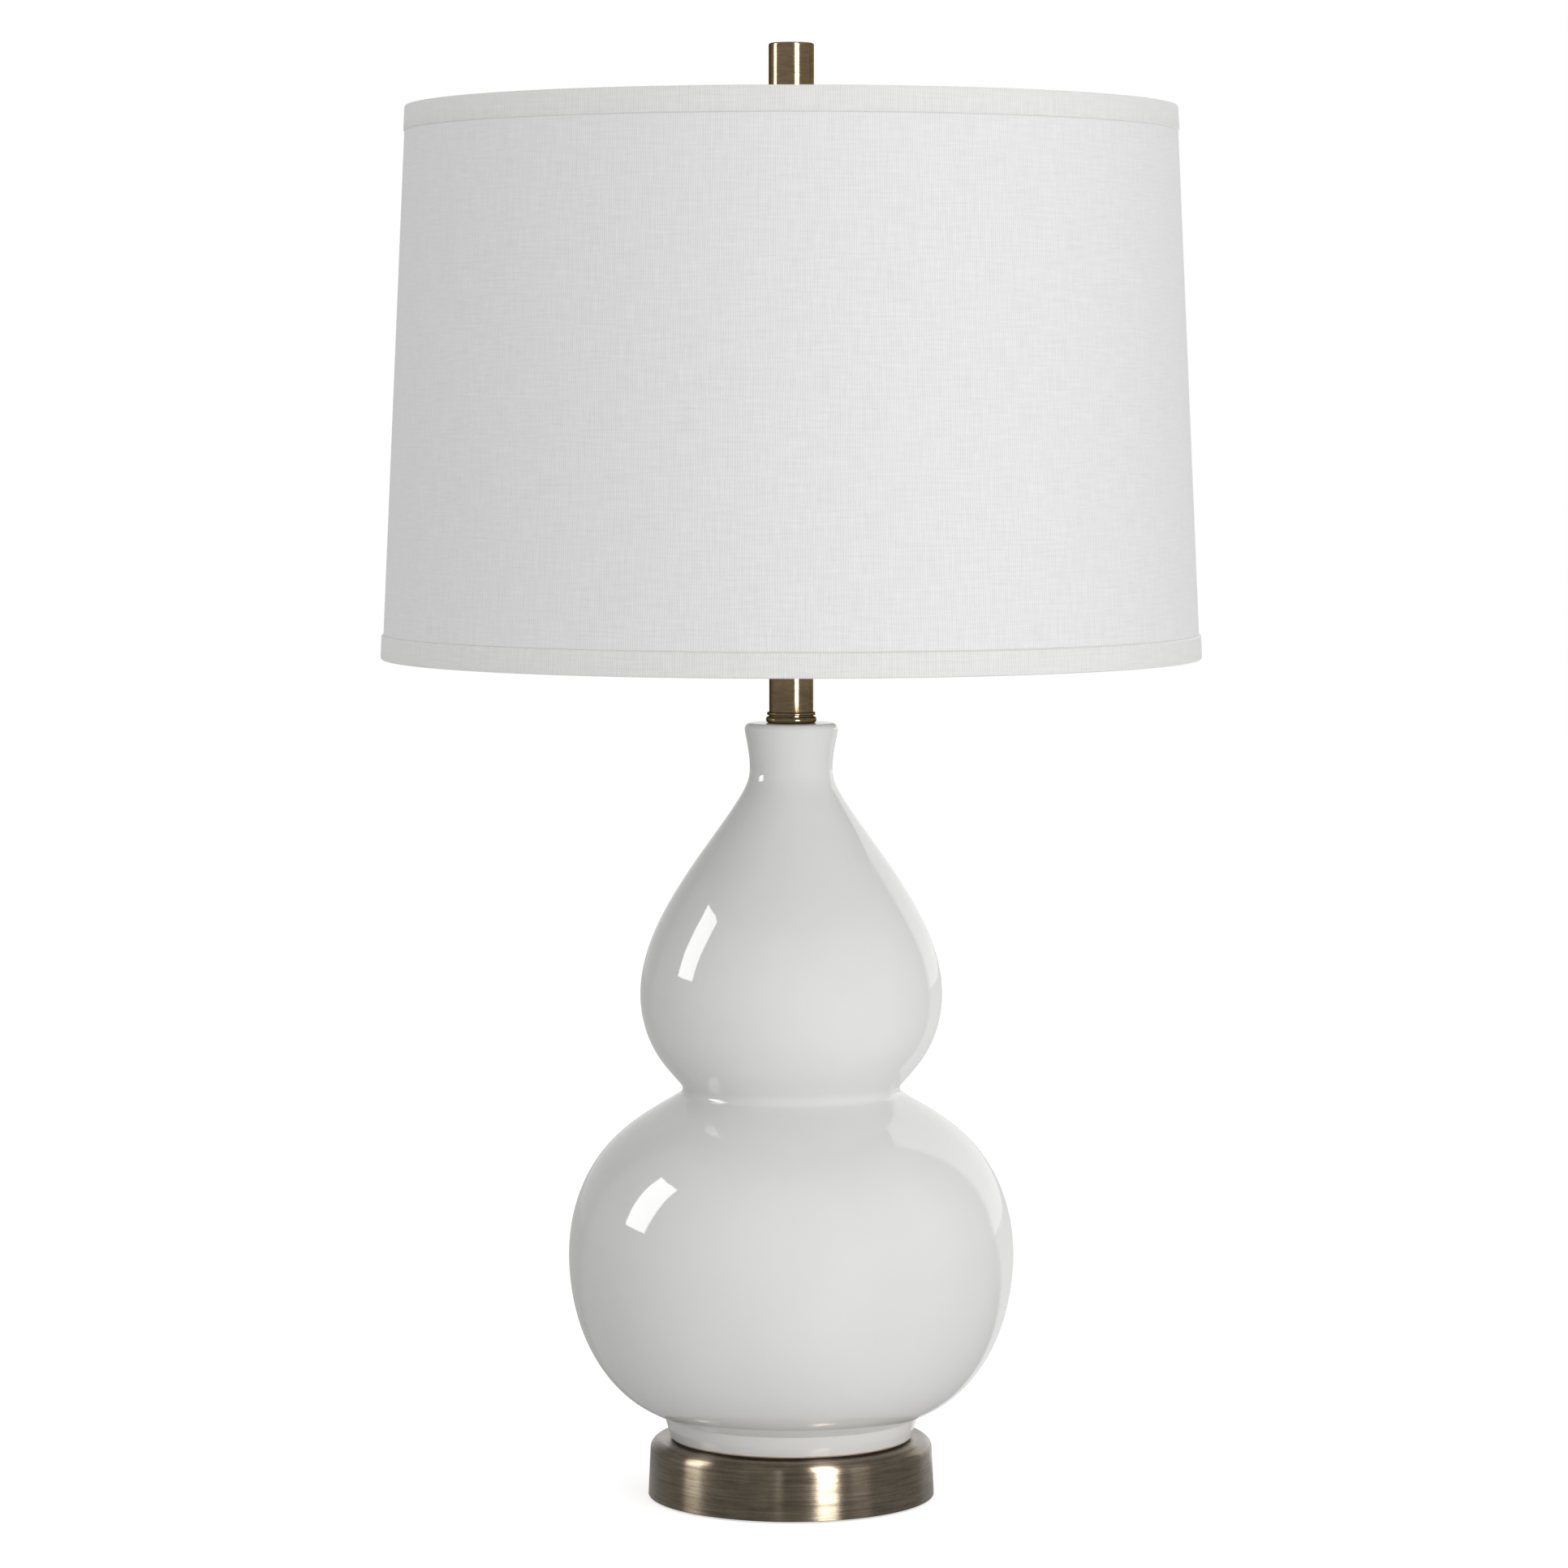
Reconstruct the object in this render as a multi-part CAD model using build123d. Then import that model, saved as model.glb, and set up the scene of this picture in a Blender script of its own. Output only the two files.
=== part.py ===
from build123d import *
import os
from math import cos, radians, sin

# Double gourd table lamp: a spun brass base, a glazed ceramic body, a brass neck, a harp and a drum shade.
# Millimetres, +Z up. The origin is on the table under the lamp's axis, and the lamp's front faces -Y.

# Base: a spun drum, open below, over a cast weight and a cover disc with a felt pad.
DRUM_BOTTOM_R = 71.9
DRUM_TOP_R = 70.6
DRUM_BOTTOM_Z = 0.8
DRUM_TOP_Z = 29.0
DRUM_WALL = 1.5
DRUM_CORNER_R = 5.0
PAD_R = 68.5
PAD_T = 1.8
COVER_T = 2.0
WEIGHT_R = 60.0
WEIGHT_T = 10.0

# Cord inlet at the back of the drum. The cord itself isn't part of the model.
INLET_Z = 11.0
INLET_BORE_R = 3.0
INLET_HOLE_R = 5.0
INLET_FLANGE_R = 6.8
INLET_LENGTH = 6.5

# The 1/8 IP pipe that holds the stack together, with its hex nuts 9/16 in across the flats.
PIPE_R = 4.85
PIPE_BORE_R = 3.2
PIPE_BOTTOM_Z = 7.5
PIPE_TOP_Z = 436.0
PIPE_CLEARANCE = 0.1
NUT_FLATS = 14.3
NUT_T = 4.0
WASHER_R = 14.0
WASHER_T = 1.5
LOCK_WASHER_R = 8.0

# Ceramic body: a foot, two bulbs, a throat and a lip, as (radius, height) points of its outer face.
GASKET_T = 1.0
GASKET_R = 59.4
FOOT_BOTTOM = (60.7, DRUM_TOP_Z + GASKET_T)
FOOT_TOP = (63.8, 41.0)
FOOT_INNER_R = 52.7
FOOT_EDGE_R = 1.2
FLOOR_Z = 36.0
FLOOR_T = 5.5
FLOOR_HOLE_R = 10.0
LOWER_BULB = [
    (74.9, 191.7), (92.6, 176.5), (105.4, 155.6), (111.1, 132.5),
    (110.5, 106.5), (104.5, 83.0), (93.0, 62.5), (76.8, 47.7),
]
UPPER_BULB = [
    (21.1, 373.0), (21.3, 362.3), (26.5, 351.2), (43.0, 327.4), (58.2, 304.6), (67.5, 287.2),
    (73.5, 270.0), (75.6, 252.8), (74.3, 241.2), (70.7, 230.0), (63.9, 218.6),
]
WAIST_CENTRE = (58.1, 206.2)
WAIST_R = 3.6
WAIST_SLOPE_ABOVE = 50.0
WAIST_SLOPE_BELOW = 31.0
LIP_R = 23.3
LIP_EDGE_R = 3.0
LIP_TANGENT = (-0.15, -1)
FOOT_TANGENT = (-0.85, -0.45)
BODY_TOP_Z = 389.5
BODY_WALL = 5.0
NECK_HOLE_R = 6.5

# Brass neck: a beaded collar, a tube 7/8 in across and a cap, up to the harp's saddle.
COLLAR_R = 12.6
COLLAR_BEAD_H = 3.4
COLLAR_GROOVE_R = 11.7
COLLAR_RIM_R = 12.1
COLLAR_TOP_Z = 395.0
TUBE_R = 11.0
TUBE_WALL = 1.0
TUBE_TOP_Z = 421.0
NECK_CAP_T = 1.5
SPIGOT_H = 3.0

# Harp, 10 in from the top of its saddle to where the shade sits.
HARP_H = 254.0
SADDLE_T = 1.5
SADDLE_Z = TUBE_TOP_Z + NECK_CAP_T + NUT_T + SADDLE_T
SADDLE_W = 12.7
SADDLE_L = 44.0
TAB_W = 5.0
TAB_H = 13.0
HARP_WIRE_R = 1.75
HARP_FOOT_X = 30.0
HARP_SIDE = [(30.0, 1.5), (30.0, 40.0), (54.0, 92.0), (54.0, 168.0), (40.0, 224.0)]
HARP_SHOULDER_X = 20.0
HARP_BENDS = [30, 50, 60, 40, 9]
HARP_PAD = (22.0, 9.0, 2.4)
HARP_RIVET_GAP = 0.3
SLEEVE_WALL = 1.1
SLEEVE_GAP = 0.25
SLEEVE_H = 12.0
SLEEVE_LIFT = 2.6
STUD_THREAD_R = 3.1
STUD_SHANK_R = 2.4
STUD_CLEARANCE = 0.05
STUD_HEAD_R = 4.5
STUD_HEAD_T = 1.2
STUD_SHOULDER_R = 5.0
STUD_SHOULDER_T = 1.8
STUD_END_Z = 695.0

# Lamp holder for a bulb with an E26 screw base, with a turn switch that faces the front.
CAP_R = 16.4
CAP_TOP_Z = SADDLE_Z + 20.0
CAP_BOWL_H = 6.5
HUB_R = 6.8
HUB_H = 6.0
SET_SCREW_R = 1.3
SHEET_T = 0.7
SHELL_R = 16.3
SHELL_TOP_Z = 488.5
BLOCK_R = 14.4
BLOCK_LOW_Z = SADDLE_Z + 15.0
BLOCK_TOP_Z = 462.0
SWITCH_Z = 453.0
FLAT_X = 11.5
FLAT_H = 12.0
TERMINAL_R = 1.6
TERMINAL_H = 9.5
TERMINAL_START = 5.0
SWITCH_BOSS_R = 3.4
BOSS_END = SHELL_R + 1.2
SPINDLE_R = 1.6
SPINDLE_CLEARANCE = 0.05
SPINDLE_START = 6.0
SPINDLE_END = SHELL_R + 10.0
KNOB_R = 6.5
KNOB_L = 12.0
KNOB_RIBS = 18
SCREW_SHELL_R = 13.38
SCREW_SHELL_T = 0.5

# Bulb, 60 mm across and 108 mm long.
BULB_LOW_Z = 465.0
BULB_H = 108.0
BULB_R = 30.0
BULB_NECK = (16.6, 508.0)
BULB_BASE_R = 13.3
BULB_BASE_TOP_Z = 490.5
BULB_TIP_R = 4.6
BULB_TIP_T = 1.2
BULB_BASE_LOW_R = 9.0
BULB_BASE_LOW_Z = BULB_LOW_Z + 4.0
GLASS_T = 1.0

# Shade: 15 in across the top, 16 in across the bottom, cloth on a stiff liner between two wire rings.
SHADE_BOTTOM_R = 203.2
SHADE_TOP_R = 190.5
SHADE_BOTTOM_Z = 422.0
SHADE_TOP_Z = 694.4
CLOTH_T = 0.6
LINER_T = 0.6
TRIM_H = 12.0
TOP_TRIM_T = 0.5
BOTTOM_TRIM_T = 1.0
RING_WIRE_R = 1.5
RING_GAP = 0.1
SPIDER_WASHER_R = 17.0
SPIDER_WASHER_T = 1.5
SPIDER_HOLE_R = 3.6
ARM_R = 1.6
ARM_START_R = 12.9
ARM_BENDS_R = (28.0, 38.0)
ARM_ANGLES = (90.0, 210.0, 330.0)

# Finial: a plain brass cylinder over a threaded insert, on the harp's stud.
FINIAL_R = 11.23
FINIAL_TOP_Z = 726.0
FINIAL_EDGE_R = 1.0
INSERT_R = 5.5
INSERT_TOP_Z = 697.0
THREAD_GAP = 0.07


def at(radius, height):
    """A point of an outline, in the XZ plane."""
    return Vector(radius, 0, height)


def turned(points, radii=None):
    """A solid of revolution from a closed outline of (radius, height) points, with rounded corners."""
    corners = [at(*point) for point in points]
    if radii is None:
        outline = Polyline(*corners, close=True)
    else:
        outline = FilletPolyline(*corners, radius=radii, close=True)
    return filled([outline])


def filled(lines):
    """A solid of revolution from the lines of a closed outline."""
    return revolve(make_face([edge for line in lines for edge in line.edges()]), Axis.Z)


def tube(outer, inner, low, high):
    """An upright tube, or a washer, about the lamp's axis."""
    return turned([(inner, low), (outer, low), (outer, high), (inner, high)])


def rod(radius, low, high, place=Location()):
    """A round bar along the Z axis of a place, between two heights on it."""
    upright = (Align.CENTER, Align.CENTER, Align.MIN)
    return place * Pos(0, 0, low) * Cylinder(radius, high - low, align=upright)


def hex_nut(low, high):
    """A hexagon nut on the lamp pipe."""
    blank = Pos(0, 0, low) * extrude(RegularPolygon(NUT_FLATS / 2, 6, major_radius=False), high - low)
    return blank - rod(PIPE_R, low, high)


def strip(points, bend_r, thickness, width):
    """A bent strip of sheet, across the XZ plane, from the (x, height) points of its middle line."""
    path = FilletPolyline(*points, radius=bend_r)
    return Plane.XZ.location * extrude(trace(path, thickness), width / 2, both=True)


def facing(direction, z):
    """The place on the lamp's axis at height z whose own Z axis points along a level direction."""
    return Plane(origin=(0, 0, z), z_dir=direction).location


# ---- Base ----


def drum_radius(height):
    """The drum's outer radius, which narrows a little upwards."""
    share = (height - DRUM_BOTTOM_Z) / (DRUM_TOP_Z - DRUM_BOTTOM_Z)
    return DRUM_BOTTOM_R + (DRUM_TOP_R - DRUM_BOTTOM_R) * share


def base_drum():
    ceiling = DRUM_TOP_Z - DRUM_WALL
    hole = PIPE_R + PIPE_CLEARANCE
    points = [
        (DRUM_BOTTOM_R, DRUM_BOTTOM_Z),
        (DRUM_TOP_R, DRUM_TOP_Z),
        (hole, DRUM_TOP_Z),
        (hole, ceiling),
        (drum_radius(ceiling) - DRUM_WALL, ceiling),
        (DRUM_BOTTOM_R - DRUM_WALL, DRUM_BOTTOM_Z),
    ]
    radii = [0, DRUM_CORNER_R, 0, 0, DRUM_CORNER_R - DRUM_WALL, 0]
    inlet = rod(INLET_HOLE_R, DRUM_BOTTOM_R / 2, DRUM_BOTTOM_R + DRUM_WALL, facing((0, 1, 0), z=INLET_Z))
    return turned(points, radii) - inlet


def base_pad():
    return rod(PAD_R, 0, PAD_T)


def base_cover():
    top = PAD_T + COVER_T
    rim = drum_radius(PAD_T) - DRUM_WALL
    return turned([(0, PAD_T), (rim, PAD_T), (drum_radius(top) - DRUM_WALL, top), (0, top)])


def base_weight():
    top = DRUM_TOP_Z - DRUM_WALL
    return tube(WEIGHT_R, PIPE_R + PIPE_CLEARANCE, top - WEIGHT_T, top)


def cord_bushing():
    """Snap-in bushing: a flange outside the drum, a lip inside it and a bore for the cord."""
    flange_t = 1.4
    lip_r = 5.6
    lip_t = 1.8
    outer = DRUM_BOTTOM_R + 1.4
    inner = outer - INLET_LENGTH
    points = [
        (INLET_BORE_R, inner),
        (lip_r, inner),
        (lip_r, inner + lip_t),
        (INLET_HOLE_R, inner + lip_t),
        (INLET_HOLE_R, outer - flange_t),
        (INLET_FLANGE_R, outer - flange_t),
        (INLET_FLANGE_R, outer),
        (INLET_BORE_R, outer),
    ]
    return facing((0, 1, 0), z=INLET_Z) * turned(points, [0, 0.4, 0, 0, 0, 0, 0.8, 0.6])


def pipe_stack():
    """The washers and the nut under the base weight, from the top down."""
    washer_top = DRUM_TOP_Z - DRUM_WALL - WEIGHT_T
    lock_top = washer_top - WASHER_T
    nut_top = lock_top - WASHER_T
    split = Pos(LOCK_WASHER_R, 0, lock_top) * Rot(20, 0, 0) * Box(LOCK_WASHER_R, 1.0, 3 * WASHER_T)
    hole = PIPE_R + PIPE_CLEARANCE
    return {
        "lower_washer": tube(WASHER_R, hole, lock_top, washer_top),
        "lower_lock_washer": tube(LOCK_WASHER_R, hole, nut_top, lock_top) - split,
        "lower_nut": hex_nut(nut_top - NUT_T, nut_top),
    }


# ---- Ceramic body ----


def waist(depth=0.0):
    """The ends and the middle of the small round groove between the bulbs, at a depth under the face."""
    radius, height = WAIST_CENTRE
    groove_r = WAIST_R + depth
    above = radians(90 + WAIST_SLOPE_ABOVE)
    below = radians(270 - WAIST_SLOPE_BELOW)
    angles = (above, (above + below) / 2, below)
    return [at(radius + groove_r * cos(a), height + groove_r * sin(a)) for a in angles]


def bulb_curves():
    """The outer faces of the upper bulb, from the lip to the waist, and of the lower, down to the foot."""
    top, _, bottom = waist()
    above = radians(180 + WAIST_SLOPE_ABOVE)
    below = radians(-WAIST_SLOPE_BELOW)
    lip = (LIP_R, BODY_TOP_Z - LIP_EDGE_R)
    upper_points = [at(*point) for point in (lip, *UPPER_BULB)]
    lower_points = [at(*point) for point in (*LOWER_BULB, FOOT_TOP)]
    upper = Spline(*upper_points, top, tangents=[at(*LIP_TANGENT), at(cos(above), sin(above))])
    lower = Spline(bottom, *lower_points, tangents=[at(cos(below), sin(below)), at(*FOOT_TANGENT)])
    return upper, lower


def inset(curve):
    """A curve that runs the wall's thickness inside another."""
    steps = 12
    points = []
    for i in range(steps + 1):
        along = curve % (i / steps)
        points.append(curve @ (i / steps) + Vector(along.Z, 0, -along.X) * BODY_WALL)
    return Spline(*points, tangents=[curve % 0, curve % 1])


def ceramic_outside():
    """The filled shape of the body, from its lip down to its foot."""
    upper, lower = bulb_curves()
    brow_r = LIP_R - LIP_EDGE_R
    brow = at(brow_r, BODY_TOP_Z)
    half_way = LIP_EDGE_R * sin(radians(45))
    middle = at(brow_r + half_way, BODY_TOP_Z - LIP_EDGE_R + half_way)
    lip_edge = ThreePointArc(brow, middle, upper @ 0)
    foot = FilletPolyline(
        at(*FOOT_TOP),
        at(*FOOT_BOTTOM),
        at(FOOT_INNER_R, FOOT_BOTTOM[1]),
        at(FOOT_INNER_R, FLOOR_Z),
        at(0, FLOOR_Z),
        radius=[FOOT_EDGE_R, FOOT_EDGE_R, 2 * FOOT_EDGE_R],
    )
    spine = Polyline(at(0, FLOOR_Z), at(0, BODY_TOP_Z), brow)
    outline = [spine, lip_edge, upper, ThreePointArc(*waist()), lower, foot]
    return filled(outline)


def ceramic_hollow():
    """The room inside the body, under its top wall and over its floor."""
    upper, lower = bulb_curves()
    upper_room = inset(upper)
    lower_room = inset(lower)
    floor = FLOOR_Z + FLOOR_T
    ends = Polyline(
        lower_room @ 1,
        at(FOOT_INNER_R + BODY_WALL, floor),
        at(0, floor),
        at(0, (upper_room @ 0).Z),
        upper_room @ 0,
    )
    hollow = filled([upper_room, ThreePointArc(*waist(BODY_WALL)), lower_room, ends])
    return hollow - Pos(0, 0, BODY_TOP_Z) * Box(3 * LIP_R, 3 * LIP_R, 2 * BODY_WALL)


def ceramic_body():
    floor_hole = rod(FLOOR_HOLE_R, FLOOR_Z, FLOOR_Z + FLOOR_T)
    neck_hole = rod(NECK_HOLE_R, BODY_TOP_Z - 2 * BODY_WALL, BODY_TOP_Z)
    return ceramic_outside() - ceramic_hollow() - floor_hole - neck_hole


def foot_gasket():
    return tube(GASKET_R, FOOT_INNER_R + 1.3, DRUM_TOP_Z, DRUM_TOP_Z + GASKET_T)


def foot_grommet():
    return tube(FLOOR_HOLE_R, PIPE_R, FLOOR_Z, FLOOR_Z + FLOOR_T)


def neck_grommet():
    return tube(NECK_HOLE_R, PIPE_R, BODY_TOP_Z - BODY_WALL, BODY_TOP_Z)


# ---- Neck ----


def lamp_pipe():
    return tube(PIPE_R, PIPE_BORE_R, PIPE_BOTTOM_Z, PIPE_TOP_Z)


def neck_collar():
    groove_z = BODY_TOP_Z + COLLAR_BEAD_H
    spigot_r = TUBE_R - TUBE_WALL
    hole = PIPE_R + PIPE_CLEARANCE
    points = [
        (hole, BODY_TOP_Z),
        (COLLAR_R, BODY_TOP_Z),
        (COLLAR_R, groove_z),
        (COLLAR_GROOVE_R, groove_z),
        (COLLAR_GROOVE_R, groove_z + 0.5),
        (COLLAR_RIM_R, groove_z + 0.5),
        (COLLAR_RIM_R, COLLAR_TOP_Z),
        (spigot_r, COLLAR_TOP_Z),
        (spigot_r, COLLAR_TOP_Z + SPIGOT_H),
        (hole, COLLAR_TOP_Z + SPIGOT_H),
    ]
    return turned(points, [0, 1.2, 0.8, 0, 0, 0.3, 0.7, 0, 0.5, 0])


def neck_tube():
    return tube(TUBE_R, TUBE_R - TUBE_WALL, COLLAR_TOP_Z, TUBE_TOP_Z)


def neck_cap():
    rim = TUBE_R + 0.3
    spigot_r = TUBE_R - TUBE_WALL
    hole = PIPE_R + PIPE_CLEARANCE
    points = [
        (hole, TUBE_TOP_Z - SPIGOT_H),
        (spigot_r, TUBE_TOP_Z - SPIGOT_H),
        (spigot_r, TUBE_TOP_Z),
        (rim, TUBE_TOP_Z),
        (rim, TUBE_TOP_Z + NECK_CAP_T),
        (hole, TUBE_TOP_Z + NECK_CAP_T),
    ]
    return turned(points, [0, 0.5, 0, 0.3, 0.7, 0])


def neck_locknut():
    low = TUBE_TOP_Z + NECK_CAP_T
    return hex_nut(low, low + NUT_T)


# ---- Harp ----


def harp_saddle():
    """A brass strip across the neck, with its narrowed ends turned up beside the harp's wire."""
    middle = SADDLE_Z - SADDLE_T / 2
    tab_x = HARP_FOOT_X + HARP_WIRE_R + SADDLE_T / 2
    tab_top = SADDLE_Z + TAB_H
    line = [(-tab_x, tab_top), (-tab_x, middle), (tab_x, middle), (tab_x, tab_top)]
    bent = strip(line, 2.0, SADDLE_T, SADDLE_W)
    plan = RectangleRounded(SADDLE_L, SADDLE_W, 2.0) + Rectangle(3 * HARP_FOOT_X, TAB_W)
    necks = plan.vertices().filter_by(lambda corner: abs(corner.Y) <= TAB_W / 2 and abs(corner.X) < HARP_FOOT_X)
    plan = fillet(necks, 1.5)
    bent &= Pos(0, 0, SADDLE_Z - 2 * SADDLE_T) * extrude(plan, TAB_H + 3 * SADDLE_T)
    return bent - rod(PIPE_R + PIPE_CLEARANCE, SADDLE_Z - 2 * SADDLE_T, SADDLE_Z + SADDLE_T)


def harp_top_z():
    """The middle of the harp's flattened top, under the shoulder of its stud."""
    return SADDLE_Z + HARP_H - STUD_SHOULDER_T - HARP_RIVET_GAP - HARP_PAD[2] / 2


def harp_wire():
    """One bent wire, flattened in the middle of its top where the stud passes through."""
    top = harp_top_z()
    rise = [at(x, SADDLE_Z + height) for x, height in HARP_SIDE]
    side = FilletPolyline(*rise, at(HARP_SHOULDER_X, top), at(HARP_PAD[0] / 3, top), radius=HARP_BENDS)
    leg = sweep(Plane(side @ 0, z_dir=side % 0) * Circle(HARP_WIRE_R), path=side)
    length, width, thickness = HARP_PAD
    pad = Pos(0, 0, top) * extrude(RectangleRounded(length, width, 3.0), thickness / 2, both=True)
    wire = leg + mirror(leg, Plane.YZ) + pad
    return wire - rod(STUD_SHANK_R + STUD_CLEARANCE, top - HARP_PAD[2], top + HARP_PAD[2])


def harp_sleeve(side):
    """A ferrule that slides down over the wire's foot and the saddle's tab to hold them together."""
    inner = HARP_FOOT_X - HARP_WIRE_R - SLEEVE_GAP
    outer = HARP_FOOT_X + HARP_WIRE_R + SADDLE_T + SLEEVE_GAP
    bore_w = TAB_W + 2 * SLEEVE_GAP
    place = Pos(side * (inner + outer) / 2, 0, SADDLE_Z + SLEEVE_LIFT)
    skin = RectangleRounded(outer - inner + 2 * SLEEVE_WALL, bore_w + 2 * SLEEVE_WALL, 2.6)
    bore = RectangleRounded(outer - inner, bore_w, 0.3)
    return place * extrude(skin - bore, SLEEVE_H)


def harp_stud():
    """The swivel stud: a riveted head under the harp's top, a shoulder above it and a thread."""
    seat = SADDLE_Z + HARP_H
    head_top = harp_top_z() - HARP_PAD[2] / 2 - HARP_RIVET_GAP
    points = [
        (0, head_top - STUD_HEAD_T),
        (STUD_HEAD_R, head_top - STUD_HEAD_T),
        (STUD_HEAD_R, head_top),
        (STUD_SHANK_R, head_top),
        (STUD_SHANK_R, seat - STUD_SHOULDER_T),
        (STUD_SHOULDER_R, seat - STUD_SHOULDER_T),
        (STUD_SHOULDER_R, seat),
        (STUD_THREAD_R, seat),
        (STUD_THREAD_R, STUD_END_Z),
        (0, STUD_END_Z),
    ]
    return turned(points, [0, 0.8, 0, 0, 0, 0, 0, 0, 0.7, 0])


# ---- Lamp holder ----


def socket_cap():
    inner = CAP_R - SHEET_T
    low = SADDLE_Z + HUB_H
    bowl = low + CAP_BOWL_H
    points = [
        (PIPE_R, SADDLE_Z),
        (HUB_R, SADDLE_Z),
        (HUB_R, low),
        (CAP_R, bowl),
        (CAP_R, CAP_TOP_Z),
        (inner, CAP_TOP_Z),
        (inner, bowl + 0.4),
        (HUB_R, low + 0.9),
        (HUB_R, low + 2.0),
        (PIPE_R, low + 2.0),
    ]
    cap = turned(points, [0, 0.5, 1.0, 3.0, 0.2, 0.2, 2.3, 0, 0.3, 0])
    return cap - rod(SET_SCREW_R, PIPE_R - 1, HUB_R + 1, facing((0, 1, 0), z=SADDLE_Z + HUB_H / 2))


def socket_set_screw():
    head_r = 2.1
    head_low = HUB_R + 0.2
    head_top = HUB_R + 1.9
    place = facing((0, 1, 0), z=SADDLE_Z + HUB_H / 2)
    slot = place * Pos(0, 0, head_top) * Box(3 * head_r, 0.7, 1.4)
    return rod(SET_SCREW_R, PIPE_R, head_low, place) + rod(head_r, head_low, head_top, place) - slot


def socket_cap_liner():
    """A fibre cone on the floor of the cap."""
    inner_r = HUB_R + 1.2
    outer_r = CAP_R - 2.2
    thickness = 0.6
    floor = SADDLE_Z + HUB_H + 0.95
    slope = (CAP_BOWL_H - 0.5) / (CAP_R - SHEET_T - HUB_R)
    low = floor + slope * (inner_r - HUB_R)
    high = floor + slope * (outer_r - HUB_R)
    return turned([(inner_r, low), (outer_r, high), (outer_r, high + thickness), (inner_r, low + thickness)])


def switch_slot():
    """The notch in the shell and its liner for the switch's boss."""
    low = BLOCK_LOW_Z - 2
    height = SWITCH_Z + SWITCH_BOSS_R + 0.6 - low
    return Pos(0, -SHELL_R, low + height / 2) * Box(2 * SWITCH_BOSS_R + 1, SHELL_R / 2, height)


def socket_shell():
    lower_r = CAP_R - SHEET_T
    low = BLOCK_LOW_Z - 0.5
    points = [
        (lower_r, low),
        (lower_r, CAP_TOP_Z + 1.0),
        (SHELL_R, CAP_TOP_Z + 2.5),
        (SHELL_R, SHELL_TOP_Z - 2.0),
        (SHELL_R + 0.7, SHELL_TOP_Z - 1.2),
        (SHELL_R + 0.7, SHELL_TOP_Z),
        (SHELL_R - 0.5, SHELL_TOP_Z),
        (SHELL_R - 0.5, CAP_TOP_Z + 2.9),
        (lower_r - 0.5, CAP_TOP_Z + 1.4),
        (lower_r - 0.5, low),
    ]
    return turned(points, [0, 0.8, 0.8, 0.4, 0.3, 0.4, 0.1, 0.3, 0.3, 0]) - switch_slot()


def socket_shell_liner():
    return tube(SHELL_R - 0.5, SHELL_R - 1.1, CAP_TOP_Z + 4, SHELL_TOP_Z - 1) - switch_slot()


def terminal_places():
    """Where the two terminal screws stand on the flats of the holder's block."""
    return [facing((side, 0, 0), z=BLOCK_LOW_Z + TERMINAL_H) for side in (-1, 1)]


def socket_block():
    """The moulded interior: the switch's housing with its boss, and flats for the terminals."""
    block = rod(BLOCK_R, BLOCK_LOW_Z, BLOCK_TOP_Z)
    front = facing((0, -1, 0), z=SWITCH_Z)
    block += rod(SWITCH_BOSS_R, BLOCK_R - 3, BOSS_END, front)
    block -= rod(SPINDLE_R + SPINDLE_CLEARANCE, SPINDLE_START - 2, BOSS_END, front)
    for place in terminal_places():
        block -= place * Pos(0, 0, FLAT_X + BLOCK_R / 2) * Box(FLAT_H, 2 * BLOCK_R, BLOCK_R)
        block -= rod(TERMINAL_R, TERMINAL_START, FLAT_X, place)
    return block


def terminal_screws():
    head_r = 3.0
    head_top = FLAT_X + 2.1
    screws = []
    for place in terminal_places():
        screw = rod(TERMINAL_R, TERMINAL_START, FLAT_X, place) + rod(head_r, FLAT_X, head_top, place)
        screws.append(screw - place * Pos(0, 0, head_top) * Box(0.8, 3 * head_r, 1.6))
    return screws[0] + screws[1]


def socket_screw_shell():
    outer = SCREW_SHELL_R + SCREW_SHELL_T
    top = SHELL_TOP_Z - 2.5
    floor_hole_r = 7.0
    points = [
        (floor_hole_r, BLOCK_TOP_Z),
        (outer, BLOCK_TOP_Z),
        (outer, top),
        (SCREW_SHELL_R, top),
        (SCREW_SHELL_R, BLOCK_TOP_Z + SCREW_SHELL_T),
        (floor_hole_r, BLOCK_TOP_Z + SCREW_SHELL_T),
    ]
    return turned(points, [0, 0.8, 0, 0, 0.4, 0])


def socket_contact():
    """The springy tongue under the bulb's tip."""
    strip_t = 0.5
    low = BLOCK_TOP_Z + strip_t / 2
    high = BULB_LOW_Z - 0.1 - strip_t / 2
    return strip([(-5, low), (-1.5, low), (1.5, high), (4, high)], 0.6, strip_t, 5.0)


def switch_spindle():
    return rod(SPINDLE_R, SPINDLE_START, SPINDLE_END, facing((0, -1, 0), z=SWITCH_Z))


def switch_knob():
    """A ribbed, slightly tapered knob pressed on the spindle."""
    start = BOSS_END + 0.5
    end = start + KNOB_L
    neck_r = KNOB_R - 1.6
    groove_r = 0.45
    place = facing((0, -1, 0), z=SWITCH_Z)
    points = [
        (0, start),
        (neck_r, start),
        (neck_r, start + 2.5),
        (KNOB_R, start + 4),
        (KNOB_R - 0.4, end),
        (0, end),
    ]
    knob = place * turned(points, [0, 0.3, 0.5, 0.4, 0.8, 0])
    for i in range(KNOB_RIBS):
        turn = place * Rot(0, 0, i * 360 / KNOB_RIBS)
        knob -= rod(groove_r, start + 3, end + 1, turn * Pos(KNOB_R + 0.1, 0, 0))
    return knob - rod(SPINDLE_R, start - 1, SPINDLE_END, place)


# ---- Bulb ----


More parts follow.
